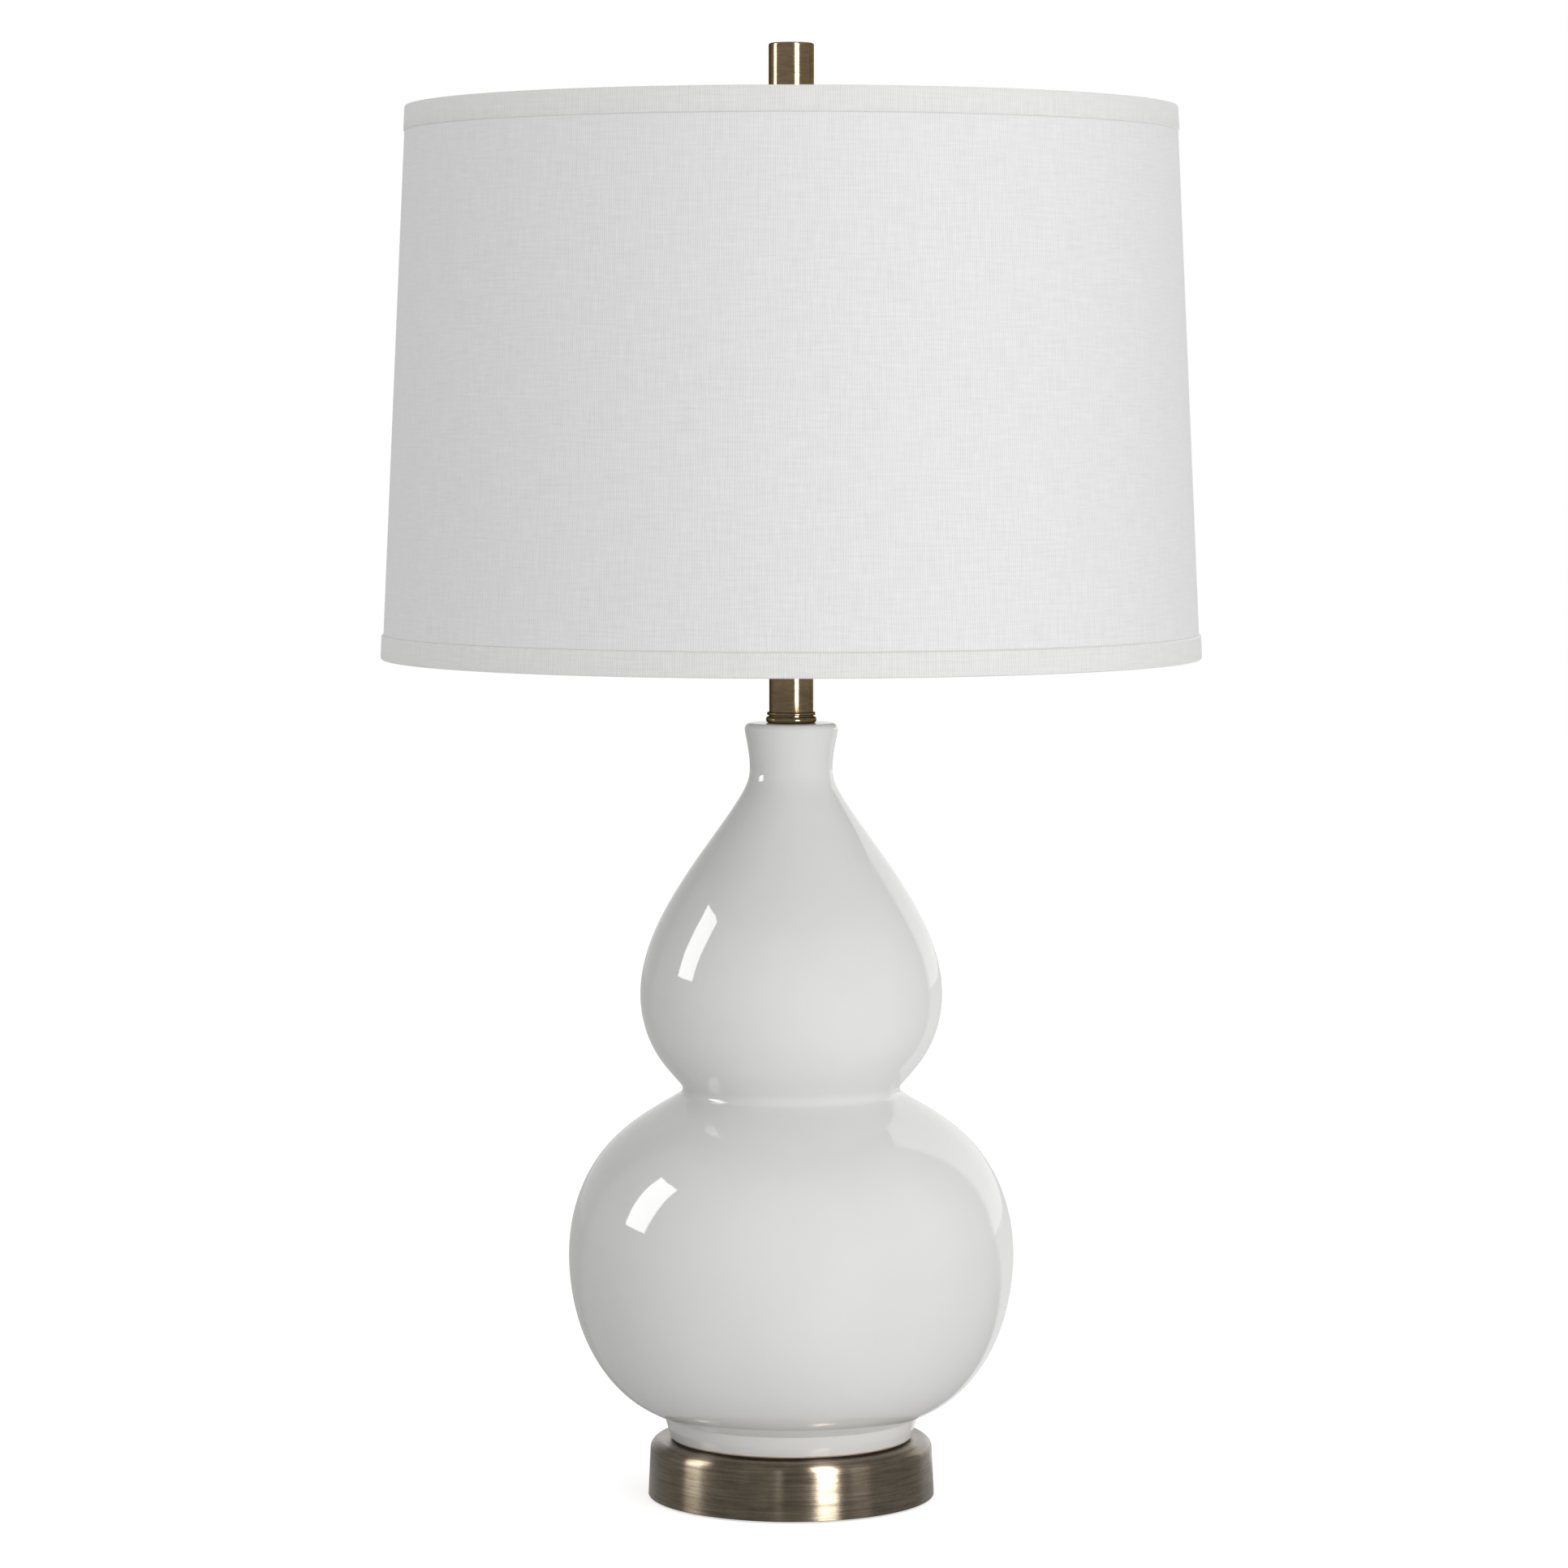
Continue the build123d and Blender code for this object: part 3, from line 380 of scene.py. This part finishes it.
def bored(piece, radius, start, end, z):
    """Cuts a round hole through a piece, along +Y between two distances from the axis."""
    work = bmesh.new()
    bmesh.ops.create_cone(work, cap_ends=True, segments=48, radius1=radius * MM, radius2=radius * MM,
                          depth=(end - start) * MM)
    bmesh.ops.rotate(work, cent=(0, 0, 0), matrix=Matrix.Rotation(pi / 2, 3, "X"), verts=work.verts)
    bmesh.ops.translate(work, vec=(0, (start + end) / 2 * MM, z * MM), verts=work.verts)
    drill_mesh = bpy.data.meshes.new("drill")
    work.to_mesh(drill_mesh)
    work.free()
    drill = bpy.data.objects.new("drill", drill_mesh)
    bpy.context.scene.collection.objects.link(drill)
    cut = piece.modifiers.new("bore", "BOOLEAN")
    cut.operation = "DIFFERENCE"
    cut.object = drill
    bpy.context.view_layer.update()
    made = bpy.data.meshes.new_from_object(piece.evaluated_get(bpy.context.evaluated_depsgraph_get()))
    piece.modifiers.remove(cut)
    piece.data = made
    bpy.data.objects.remove(drill)
    bpy.data.meshes.remove(drill_mesh)
    made.shade_smooth()
    made.set_sharp_from_angle(angle=radians(CREASE))


bored(drum, INLET_HOLE_R, 60.0, 80.0, INLET_Z)

felt, felt_tree, felt_shader = principled("black_felt", (0.02, 0.02, 0.02), 0.95, Sheen_Weight=0.4)
fuzz = noise(felt_tree, object_place(felt_tree), 900.0, 4.0, 0.7)
felt_tree.links.new(between(felt_tree, fuzz, (0.012, 0.012, 0.012), (0.05, 0.05, 0.05)),
                    felt_shader.inputs["Base Color"])
bumped(felt_tree, felt_shader, fuzz, 0.8, 0.0004)
pad_outline = rounded([(0, 0), (68.5, 0), (68.5, 1.8), (0, 1.8)], [0, 0.5, 0.4, 0])
turned_piece("felt_pad", pad_outline, felt, "lamp_base", ["base_pad"], "felt", 128, closed=False)


# ---- Finishes of the small and the hidden parts ----
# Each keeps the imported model's own shape: steel hardware on the pipe, moulded plastic, rubber, fibre paper,
# fibreboard and cast iron.


def plain_finish(name, dark, light, roughness, scale, bump, **sockets):
    """A material with a mottle of two tones and a grain of the same scale."""
    made, tree, shader = principled(name, light, roughness, **sockets)
    grain = noise(tree, object_place(tree), scale, 5.0, 0.6)
    tree.links.new(between(tree, grain, dark, light), shader.inputs["Base Color"])
    rough = ranged(tree, grain, 0.3, 0.7, max(0.02, roughness - 0.06), min(1.0, roughness + 0.06))
    tree.links.new(rough, shader.inputs["Roughness"])
    bumped(tree, shader, grain, 0.5, bump)
    return made


zinc = plain_finish("zinc_plate", (0.42, 0.42, 0.40), (0.60, 0.60, 0.57), 0.32, 700.0, 1e-5, Metallic=1.0)
black_plastic = plain_finish("black_plastic", (0.012, 0.011, 0.010), (0.03, 0.028, 0.026), 0.30, 900.0, 2e-5)
black_rubber = plain_finish("black_rubber", (0.012, 0.012, 0.012), (0.028, 0.028, 0.028), 0.75, 800.0, 6e-5)
fibre = plain_finish("fibre_paper", (0.24, 0.17, 0.10), (0.34, 0.26, 0.17), 0.8, 1200.0, 4e-5)
fibreboard = plain_finish("fibreboard", (0.10, 0.07, 0.04), (0.19, 0.13, 0.08), 0.85, 500.0, 1e-4)
cast_iron = plain_finish("cast_iron", (0.03, 0.03, 0.03), (0.07, 0.07, 0.07), 0.7, 300.0, 4e-4, Metallic=0.6)
black_glass = plain_finish("black_glass", (0.006, 0.006, 0.010), (0.015, 0.015, 0.022), 0.08, 300.0, 1e-5)
solder = plain_finish("solder", (0.30, 0.30, 0.29), (0.45, 0.45, 0.44), 0.45, 600.0, 5e-5, Metallic=1.0)
bright_brass = brass("bright_brass", (0.55, 0.40, 0.16), (0.72, 0.55, 0.26), 0.20, 1e-6)
harp_brass = brass("harp_brass", (0.34, 0.26, 0.14), (0.50, 0.40, 0.22), 0.25, 1e-6)
aluminium = brass("bright_aluminium", (0.55, 0.55, 0.55), (0.74, 0.74, 0.75), 0.28, 2e-6)

CARRIED_OVER = {
    fibreboard: ["base_cover"],
    cast_iron: ["base_weight"],
    black_plastic: ["cord_bushing", "socket_block", "switch_knob"],
    zinc: ["lower_washer", "lower_lock_washer", "lower_nut", "lamp_pipe", "neck_locknut", "socket_set_screw",
           "finial_insert"],
    black_rubber: ["foot_gasket", "foot_grommet", "neck_grommet"],
    fibre: ["socket_cap_liner", "socket_shell_liner"],
    harp_brass: ["harp_saddle", "harp_wire", "harp_sleeve_left", "harp_sleeve_right", "harp_stud"],
    bright_brass: ["socket_cap", "socket_shell", "terminal_screws", "socket_contact", "switch_spindle"],
    aluminium: ["socket_screw_shell"],
    black_glass: ["bulb_insulator"],
    solder: ["bulb_contact"],
}


def dress(name, finish):
    """Gives a CAD node its material."""
    slots = nodes[name].data.materials
    slots.clear()
    slots.append(finish)


for finish, names in CARRIED_OVER.items():
    for name in names:
        dress(name, finish)


# ---- Ceramic body ----
# Cast stoneware in a double gourd, with a white glossy glaze that thins over the lip and ends just above the
# foot's bare edge. The wall is about 5 mm thick.

WALL = 5.0
LIP = [(20.3, 389.5), (23.3, 386.5)]
UPPER_BULB = [
    (23.3, 386.5), (21.1, 373.0), (21.3, 362.3), (26.5, 351.2), (43.0, 327.4), (58.2, 304.6), (67.5, 287.2),
    (73.5, 270.0), (75.6, 252.8), (74.3, 241.2), (70.7, 230.0), (63.9, 218.6),
]
LOWER_BULB = [
    (74.9, 191.7), (92.6, 176.5), (105.4, 155.6), (111.1, 132.5),
    (110.5, 106.5), (104.5, 83.0), (93.0, 62.5), (76.8, 47.7), (63.8, 41.0),
]
WAIST_CENTRE = Vector((58.1, 206.2))
WAIST_R = 3.6
WAIST_ABOVE = radians(50)
WAIST_BELOW = radians(31)


def smooth_line(points, start, end, per_span):
    """A curve with even curvature through points, with a direction at each end."""
    p = np.array([tuple(q) for q in points], float)
    gaps = np.linalg.norm(np.diff(p, axis=0), axis=1)
    n = len(p)
    system, right = np.zeros((n, n)), np.zeros((n, 2))
    system[0, 0] = system[-1, -1] = 1
    right[0], right[-1] = np.array(start) / hypot(*start), np.array(end) / hypot(*end)
    for i in range(1, n - 1):
        a, b = gaps[i - 1], gaps[i]
        system[i, i - 1 : i + 2] = b, 2 * (a + b), a
        right[i] = 3 * (b * (p[i] - p[i - 1]) / a + a * (p[i + 1] - p[i]) / b)
    slopes = np.linalg.solve(system, right)
    line = []
    for i in range(n - 1):
        steps = max(2, round(per_span * gaps[i]))
        for k in range(steps):
            t = k / steps
            line.append(
                (2 * t**3 - 3 * t**2 + 1) * p[i] + (t**3 - 2 * t**2 + t) * gaps[i] * slopes[i]
                + (3 * t**2 - 2 * t**3) * p[i + 1] + (t**3 - t**2) * gaps[i] * slopes[i + 1]
            )
    return [Vector(q) for q in line] + [Vector(p[-1])]


def arc(centre, radius, start, end, steps):
    return [centre + radius * Vector((cos(a), sin(a))) for a in np.linspace(start, end, steps + 1)]


def inside_of(line, depth):
    """The points of a line that runs at a depth to the left of another that goes down."""
    found = []
    for i, point in enumerate(line):
        ahead = (line[min(i + 1, len(line) - 1)] - line[max(i - 1, 0)]).normalized()
        found.append(point + Vector((ahead.y, -ahead.x)) * depth)
    return found


waist = arc(WAIST_CENTRE, WAIST_R, pi / 2 + WAIST_ABOVE, 3 * pi / 2 - WAIST_BELOW, 10)
into_waist = (cos(pi + WAIST_ABOVE), sin(pi + WAIST_ABOVE))
out_of_waist = (cos(-WAIST_BELOW), sin(-WAIST_BELOW))
upper_face = smooth_line(UPPER_BULB + [waist[0]], (-0.15, -1), into_waist, 0.5)
lower_face = smooth_line([waist[-1]] + LOWER_BULB, out_of_waist, (-0.85, -0.45), 0.5)
lip = arc(Vector((20.3, 386.5)), 3.0, pi / 2, 0, 8)
foot = rounded([(63.8, 41.0), (60.7, 30.0), (52.7, 30.0), (52.7, 36.0), (10.0, 36.0)], [0, 1.2, 1.2, 2.4, 0])
room_inside = inside_of(upper_face[::3], WALL) + arc(WAIST_CENTRE, WAIST_R + WALL, pi / 2 + WAIST_ABOVE,
                                                      3 * pi / 2 - WAIST_BELOW, 8) + inside_of(lower_face[::3], WALL)
room_inside = [q for q in room_inside if 41.5 < q.y < 384.5]
body_outline = (
    [Vector((6.5, 384.5)), Vector((6.5, 389.5))] + lip + upper_face[1:] + waist[1:] + lower_face[1:]
    + foot[1:] + [Vector((10.0, 41.5)), Vector((57.7, 41.5))] + room_inside[::-1]
)

glaze, glaze_tree, glaze_shader = principled("white_glaze", (0.80, 0.80, 0.785), 0.05, IOR=1.5)
glaze_place = object_place(glaze_tree)
cloud = noise(glaze_tree, glaze_place, 14.0, 3.0, 0.5)
glaze_color = between(glaze_tree, ranged(glaze_tree, cloud, 0.3, 0.7, 0.0, 1.0), (0.775, 0.775, 0.765),
                      (0.815, 0.815, 0.80))
height = node(glaze_tree, "ShaderNodeSeparateXYZ", {0: glaze_place}).outputs["Z"]
wobble = math(glaze_tree, "MULTIPLY", noise(glaze_tree, glaze_place, 90.0), 0.0010)
bare = ranged(glaze_tree, math(glaze_tree, "ADD", height, wobble), 0.0312, 0.0316, 1.0, 0.0)
clay = between(glaze_tree, noise(glaze_tree, glaze_place, 500.0, 4.0), (0.42, 0.30, 0.19), (0.62, 0.50, 0.36))
skin = node(glaze_tree, "ShaderNodeMix", {"Factor": bare, 6: glaze_color, 7: clay}, data_type="RGBA").outputs[2]
glaze_tree.links.new(skin, glaze_shader.inputs["Base Color"])
glaze_tree.links.new(ranged(glaze_tree, bare, 0.0, 1.0, 0.05, 0.8), glaze_shader.inputs["Roughness"])
ripple = noise(glaze_tree, glaze_place, 55.0, 1.0)
bumped(glaze_tree, glaze_shader, ripple, 0.12, 0.0008)
turned_piece("gourd_body", body_outline, glaze, "lamp_base", ["ceramic_body"], "white_glaze", 256)


# ---- Brass neck ----
# A beaded collar, a tube and a cap, all turned from brass, darkened and polished.

antique = brass("polished_brass", (0.20, 0.146, 0.085), (0.29, 0.213, 0.125), 0.12, 4e-7)
antique.node_tree.nodes["Principled BSDF"].inputs["Specular Tint"].default_value = (0.24, 0.23, 0.22, 1)
collar_outline = rounded(
    [(4.95, 389.5), (12.6, 389.5), (12.6, 392.8), (11.1, 392.8), (11.1, 393.3), (12.1, 393.3), (12.1, 395.0),
     (10.0, 395.0), (10.0, 398.0), (4.95, 398.0)],
    [0, 1.5, 1.4, 0, 0, 0.7, 0.8, 0, 0.5, 0],
)
tube_outline = rounded([(10.0, 395.0), (11.0, 395.0), (11.0, 421.0), (10.0, 421.0)], [0, 0.1, 0.1, 0])
cap_outline = rounded(
    [(4.95, 418.0), (10.0, 418.0), (10.0, 421.0), (11.3, 421.0), (11.3, 422.5), (4.95, 422.5)],
    [0, 0.5, 0, 0.3, 0.7, 0],
)
turned_piece("beaded_collar", collar_outline, antique, "lamp_base", ["neck_collar"], "polished_brass", 128)
turned_piece("brass_tube", tube_outline, antique, "lamp_base", ["neck_tube"], "polished_brass", 128)
turned_piece("tube_cap", cap_outline, antique, "lamp_base", ["neck_cap"], "polished_brass", 128)


# ---- Bulb ----
# A frosted glass globe on a rolled aluminium screw base.

frosted, frost_tree, frost_shader = principled("frosted_glass", (0.88, 0.88, 0.87), 0.38, Coat_Weight=0.3,
                                               Coat_Roughness=0.25, Subsurface_Weight=0.3, Subsurface_Scale=0.01)
frost = noise(frost_tree, object_place(frost_tree), 1500.0, 3.0)
frost_tree.links.new(between(frost_tree, frost, (0.84, 0.84, 0.83), (0.90, 0.90, 0.89)),
                     frost_shader.inputs["Base Color"])
bumped(frost_tree, frost_shader, frost, 0.3, 2e-5)
crown = arc(Vector((0, 543.0)), 30.0, radians(-35), pi / 2, 40)
neck = smooth_line([(13.3, 490.5), (16.6, 508.0), tuple(crown[0])], (0, 1), (sin(radians(35)), cos(radians(35))), 0.8)
globe_outline = neck + crown[1:]
globe = [Vector((0, 487.5)), Vector((12.8, 487.5)), Vector((12.8, 490.4))] + globe_outline
turned_piece("bulb_glass", globe, frosted, "bulb", ["bulb_globe"], "frosted_glass", 96, closed=False)
THREAD_PITCH = 3.6
rolled = [Vector((13.3 - 0.35 + 0.35 * cos(2 * pi * (z - 473.0) / THREAD_PITCH), z)) for z in
          np.arange(473.0, 488.0, 0.45)]
bulb_base_outline = [Vector((9.0, 469.0)), Vector((9.3, 469.0)), Vector((12.6, 472.0))] + rolled + [
    Vector((13.3, 488.4)), Vector((13.3, 490.5)), Vector((12.8, 490.5)), Vector((12.3, 472.4)), Vector((9.0, 469.6))]
turned_piece("bulb_screw_base", bulb_base_outline, aluminium, "bulb", ["bulb_base"], "aluminium", 96)


# ---- Shade ----
# Off-white linen laminated to a white styrene liner, wrapped once round two wire rings and lapped at the back.
# A strip of the same cloth is folded over each edge and glued round its ring.

SHADE_LOW, SHADE_HIGH = 422.0, 694.4
SHADE_LOW_R, SHADE_HIGH_R = 203.2, 190.5
CLOTH, LINER = 0.6, 0.6
LAP = radians(3.0)
LAP_LIFT = 0.4
CLOTH_STEPS = 300
CLOTH_ROWS = 24


def shade_r(z):
    return SHADE_LOW_R + (SHADE_HIGH_R - SHADE_LOW_R) * (z - SHADE_LOW) / (SHADE_HIGH - SHADE_LOW)


def eased(t):
    t = min(1.0, max(0.0, t))
    return t * t * (3 - 2 * t)


THREAD_SPACING = 0.00115
# How dark the painted shadow is that each trim's edge casts on the cloth, as a thin line.
TRIM_SHADOW_STRENGTH = 0.2
TRIM_WIDTH = 12.0


def linen(name, tint, painted_shadow_lines=()):
    """A plain weave with stronger upright threads, slubs and a sheen, and a thin painted shadow on the cloth along
    each trim's edge. Its UV is in metres.
    """
    made, tree, shader = principled(name, tint, 0.75, Sheen_Weight=0.9, Sheen_Roughness=0.45)
    uv = node(tree, "ShaderNodeUVMap", uv_map="weave").outputs[0]
    flat = node(tree, "ShaderNodeSeparateXYZ", {0: uv}).outputs
    drift = math(tree, "MULTIPLY", noise(tree, uv, 60.0, 2.0), 0.0012)
    half_turns = math(tree, "MULTIPLY", math(tree, "ADD", flat["X"], drift), pi / THREAD_SPACING)
    ribs = math(tree, "COSINE", math(tree, "MULTIPLY", half_turns, 2.0))
    rows = math(tree, "COSINE", math(tree, "MULTIPLY", math(tree, "ADD", flat["Y"], drift), 2 * pi / THREAD_SPACING))
    beads = math(tree, "MULTIPLY", math(tree, "COSINE", half_turns), rows)
    upright = node(tree, "ShaderNodeMapping", {"Vector": uv, "Scale": (900.0, 60.0, 1.0)}).outputs[0]
    level = node(tree, "ShaderNodeMapping", {"Vector": uv, "Scale": (60.0, 900.0, 1.0)}).outputs[0]
    slubs = math(tree, "ADD", noise(tree, upright, 1.0, 3.0, 0.6), noise(tree, level, 1.0, 3.0, 0.6))
    woven = math(tree, "ADD", math(tree, "MULTIPLY", ribs, 0.17), math(tree, "MULTIPLY", beads, 0.12))
    threads = math(tree, "ADD", woven, math(tree, "MULTIPLY", slubs, 0.5))
    dark = tuple(c * 0.84 for c in tint)
    light = tuple(min(1.0, c * 1.10) for c in tint)
    color = between(tree, ranged(tree, threads, 0.1, 0.9, 0.0, 1.0), dark, light)
    # Paints a thin shadow line on the cloth just past each trim's edge, darkening its colour.
    for shadow_line_z in painted_shadow_lines:
        gap = math(tree, "ABSOLUTE", math(tree, "SUBTRACT", flat["Y"], shadow_line_z))
        painted_shadow = ranged(tree, gap, 0.0001, 0.0005, TRIM_SHADOW_STRENGTH, 0.0)
        color = node(tree, "ShaderNodeMix", {"Factor": painted_shadow, 6: color, 7: (0, 0, 0, 1)}, data_type="RGBA").outputs[2]
    tree.links.new(color, shader.inputs["Base Color"])
    bumped(tree, shader, threads, 0.6, 0.0002)
    return made


# Heights of the painted shadow lines on the cloth, just past the edge of each trim.
trim_shadow_heights = ((SHADE_LOW + TRIM_WIDTH + 0.2) * MM, (SHADE_HIGH - TRIM_WIDTH - 0.2) * MM)
shade_linen = linen("shade_linen", (0.83, 0.83, 0.83), trim_shadow_heights)
trim_linen = linen("trim_linen", (0.82, 0.82, 0.81))


def wrapped_sheet(name, low, high, outer, lap_lift, thickness, finish):
    """A sheet wrapped once round the shade and lapped at the back, given thickness inwards."""
    verts, uvs = [], []
    for i in range(CLOTH_STEPS + 1):
        angle = (2 * pi + LAP) * i / CLOTH_STEPS
        lift = lap_lift * eased((angle - 2 * pi + LAP / 2) / (LAP / 2))
        for j in range(CLOTH_ROWS + 1):
            z = low + (high - low) * j / CLOTH_ROWS
            r = shade_r(z) + outer + lift
            around = pi / 2 - LAP / 2 + angle
            verts.append((r * cos(around) * MM, r * sin(around) * MM, z * MM))
            uvs.append((angle * 0.197, z * MM))
    faces = []
    for i in range(CLOTH_STEPS):
        for j in range(CLOTH_ROWS):
            k = i * (CLOTH_ROWS + 1) + j
            faces.append((k, k + CLOTH_ROWS + 1, k + CLOTH_ROWS + 2, k + 1))
    mesh = bpy.data.meshes.new(name)
    mesh.from_pydata(verts, [], faces)
    layer = mesh.uv_layers.new(name="weave")
    for loop in mesh.loops:
        layer.data[loop.index].uv = uvs[loop.vertex_index]
    mesh.shade_smooth()
    mesh.materials.append(finish)
    piece = bpy.data.objects.new(name, mesh)
    bpy.context.scene.collection.objects.link(piece)
    wall = piece.modifiers.new("thickness", "SOLIDIFY")
    wall.thickness = thickness * MM
    wall.offset = -1
    return piece


def with_weave(piece):
    """Gives a turned piece a UV map in metres, round it and along its outline."""
    mesh = piece.data
    layer = mesh.uv_layers.new(name="weave")
    for polygon in mesh.polygons:
        middle = atan2(polygon.center.x, -polygon.center.y)
        for loop in polygon.loop_indices:
            spot = mesh.vertices[mesh.loops[loop].vertex_index].co
            around = atan2(spot.x, -spot.y)
            around += 2 * pi * round((middle - around) / (2 * pi))
            layer.data[loop].uv = (around * 0.197, spot.z + 0.3 * hypot(spot.x, spot.y))


cloth = wrapped_sheet("shade_cloth", SHADE_LOW + 1.0, SHADE_HIGH - 0.5, 0.0, LAP_LIFT, CLOTH - 0.1, shade_linen)
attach(cloth, "shade")
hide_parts("shade_fabric")
shade_only.objects.link(cloth)

styrene = plain_finish("white_styrene", (0.78, 0.78, 0.765), (0.82, 0.82, 0.805), 0.42, 200.0, 2e-5)
liner_outline = [(shade_r(z) - d, z) for d, z in (
    (0.65, 423.0), (0.65, 693.9), (1.2, 693.9), (1.2, 423.0))]
turned_piece("shade_liner_sheet", liner_outline, styrene, "shade", ["shade_liner"], "styrene", 256)


def ring_centre(up):
    z = SHADE_HIGH - 2.0 if up > 0 else SHADE_LOW + 2.5
    return Vector((shade_r(z) - CLOTH - LINER - 1.6, z))


def trim_outline(up):
    """The folded strip's section: down the outside, over the edge and round the ring to the liner."""
    t = 0.5 if up > 0 else 1.0
    edge = SHADE_HIGH if up > 0 else SHADE_LOW
    centre = ring_centre(up)
    outside = [(shade_r(edge - up * d) + t * eased(d_t), edge - up * d) for d, d_t in
               ((12.0, 0.15), (11.9, 0.6), (11.6, 1.0), (6.0, 1.0), (1.4, 1.0))]
    outside += [(shade_r(edge) + 0.75 * t, edge - up * 0.45), (shade_r(edge) + 0.3 * t, edge - up * 0.1),
                (shade_r(edge) - 0.4, edge)]
    first, last = (pi / 2, pi * 1.45) if up > 0 else (-pi / 2, -pi * 1.45)
    over = arc(centre, 1.5 + t, first, last, 12)
    under = arc(centre, 1.55, last, first, 12)
    rest = [(shade_r(edge) - 1.15, edge - up * (t + 0.02)), (shade_r(edge - up * t) - 0.02, edge - up * (t + 0.02)),
            (shade_r(edge - up * 12.0), edge - up * 12.0)]
    return outside + over + under + rest


TRIMS = {}
for up, name in ((1, "shade_top_trim"), (-1, "shade_bottom_trim")):
    TRIMS[name] = turned_piece(name + "_strip", trim_outline(up), trim_linen, "shade", [name], "trim_cloth", 300)
    with_weave(TRIMS[name])
    shade_only.objects.link(TRIMS[name])

white_paint = plain_finish("white_paint", (0.70, 0.70, 0.69), (0.78, 0.78, 0.77), 0.35, 400.0, 2e-5)
for up, name in ((1, "shade_top_ring"), (-1, "shade_bottom_ring")):
    turned_piece(name + "_wire", arc(ring_centre(up), 1.5, 0, 2 * pi, 16)[:-1], white_paint, "shade", [name],
                 "white_paint", 192)
dress("spider_arms", white_paint)
turned_piece("spider_hub", rounded([(3.6, 682.0), (17.0, 682.0), (17.0, 683.5), (3.6, 683.5)], [0.2, 0.5, 0.5, 0.2]),
             harp_brass, "shade", ["spider_washer"], "harp_brass", 96)


# ---- Finial ----
# A plain cylinder turned from brass, polished and darkened, screwed on the harp's stud over the shade.

finial_outline = rounded(
    [(5.5, 683.5), (11.23, 683.5), (11.23, 726.0), (0, 726.0), (0, 697.0), (5.5, 697.0)],
    [0, 0.5, 1.0, 0, 0, 0],
)
turned_piece("finial_cylinder", finial_outline, antique, "finial", ["finial_body"], "polished_brass", 128)
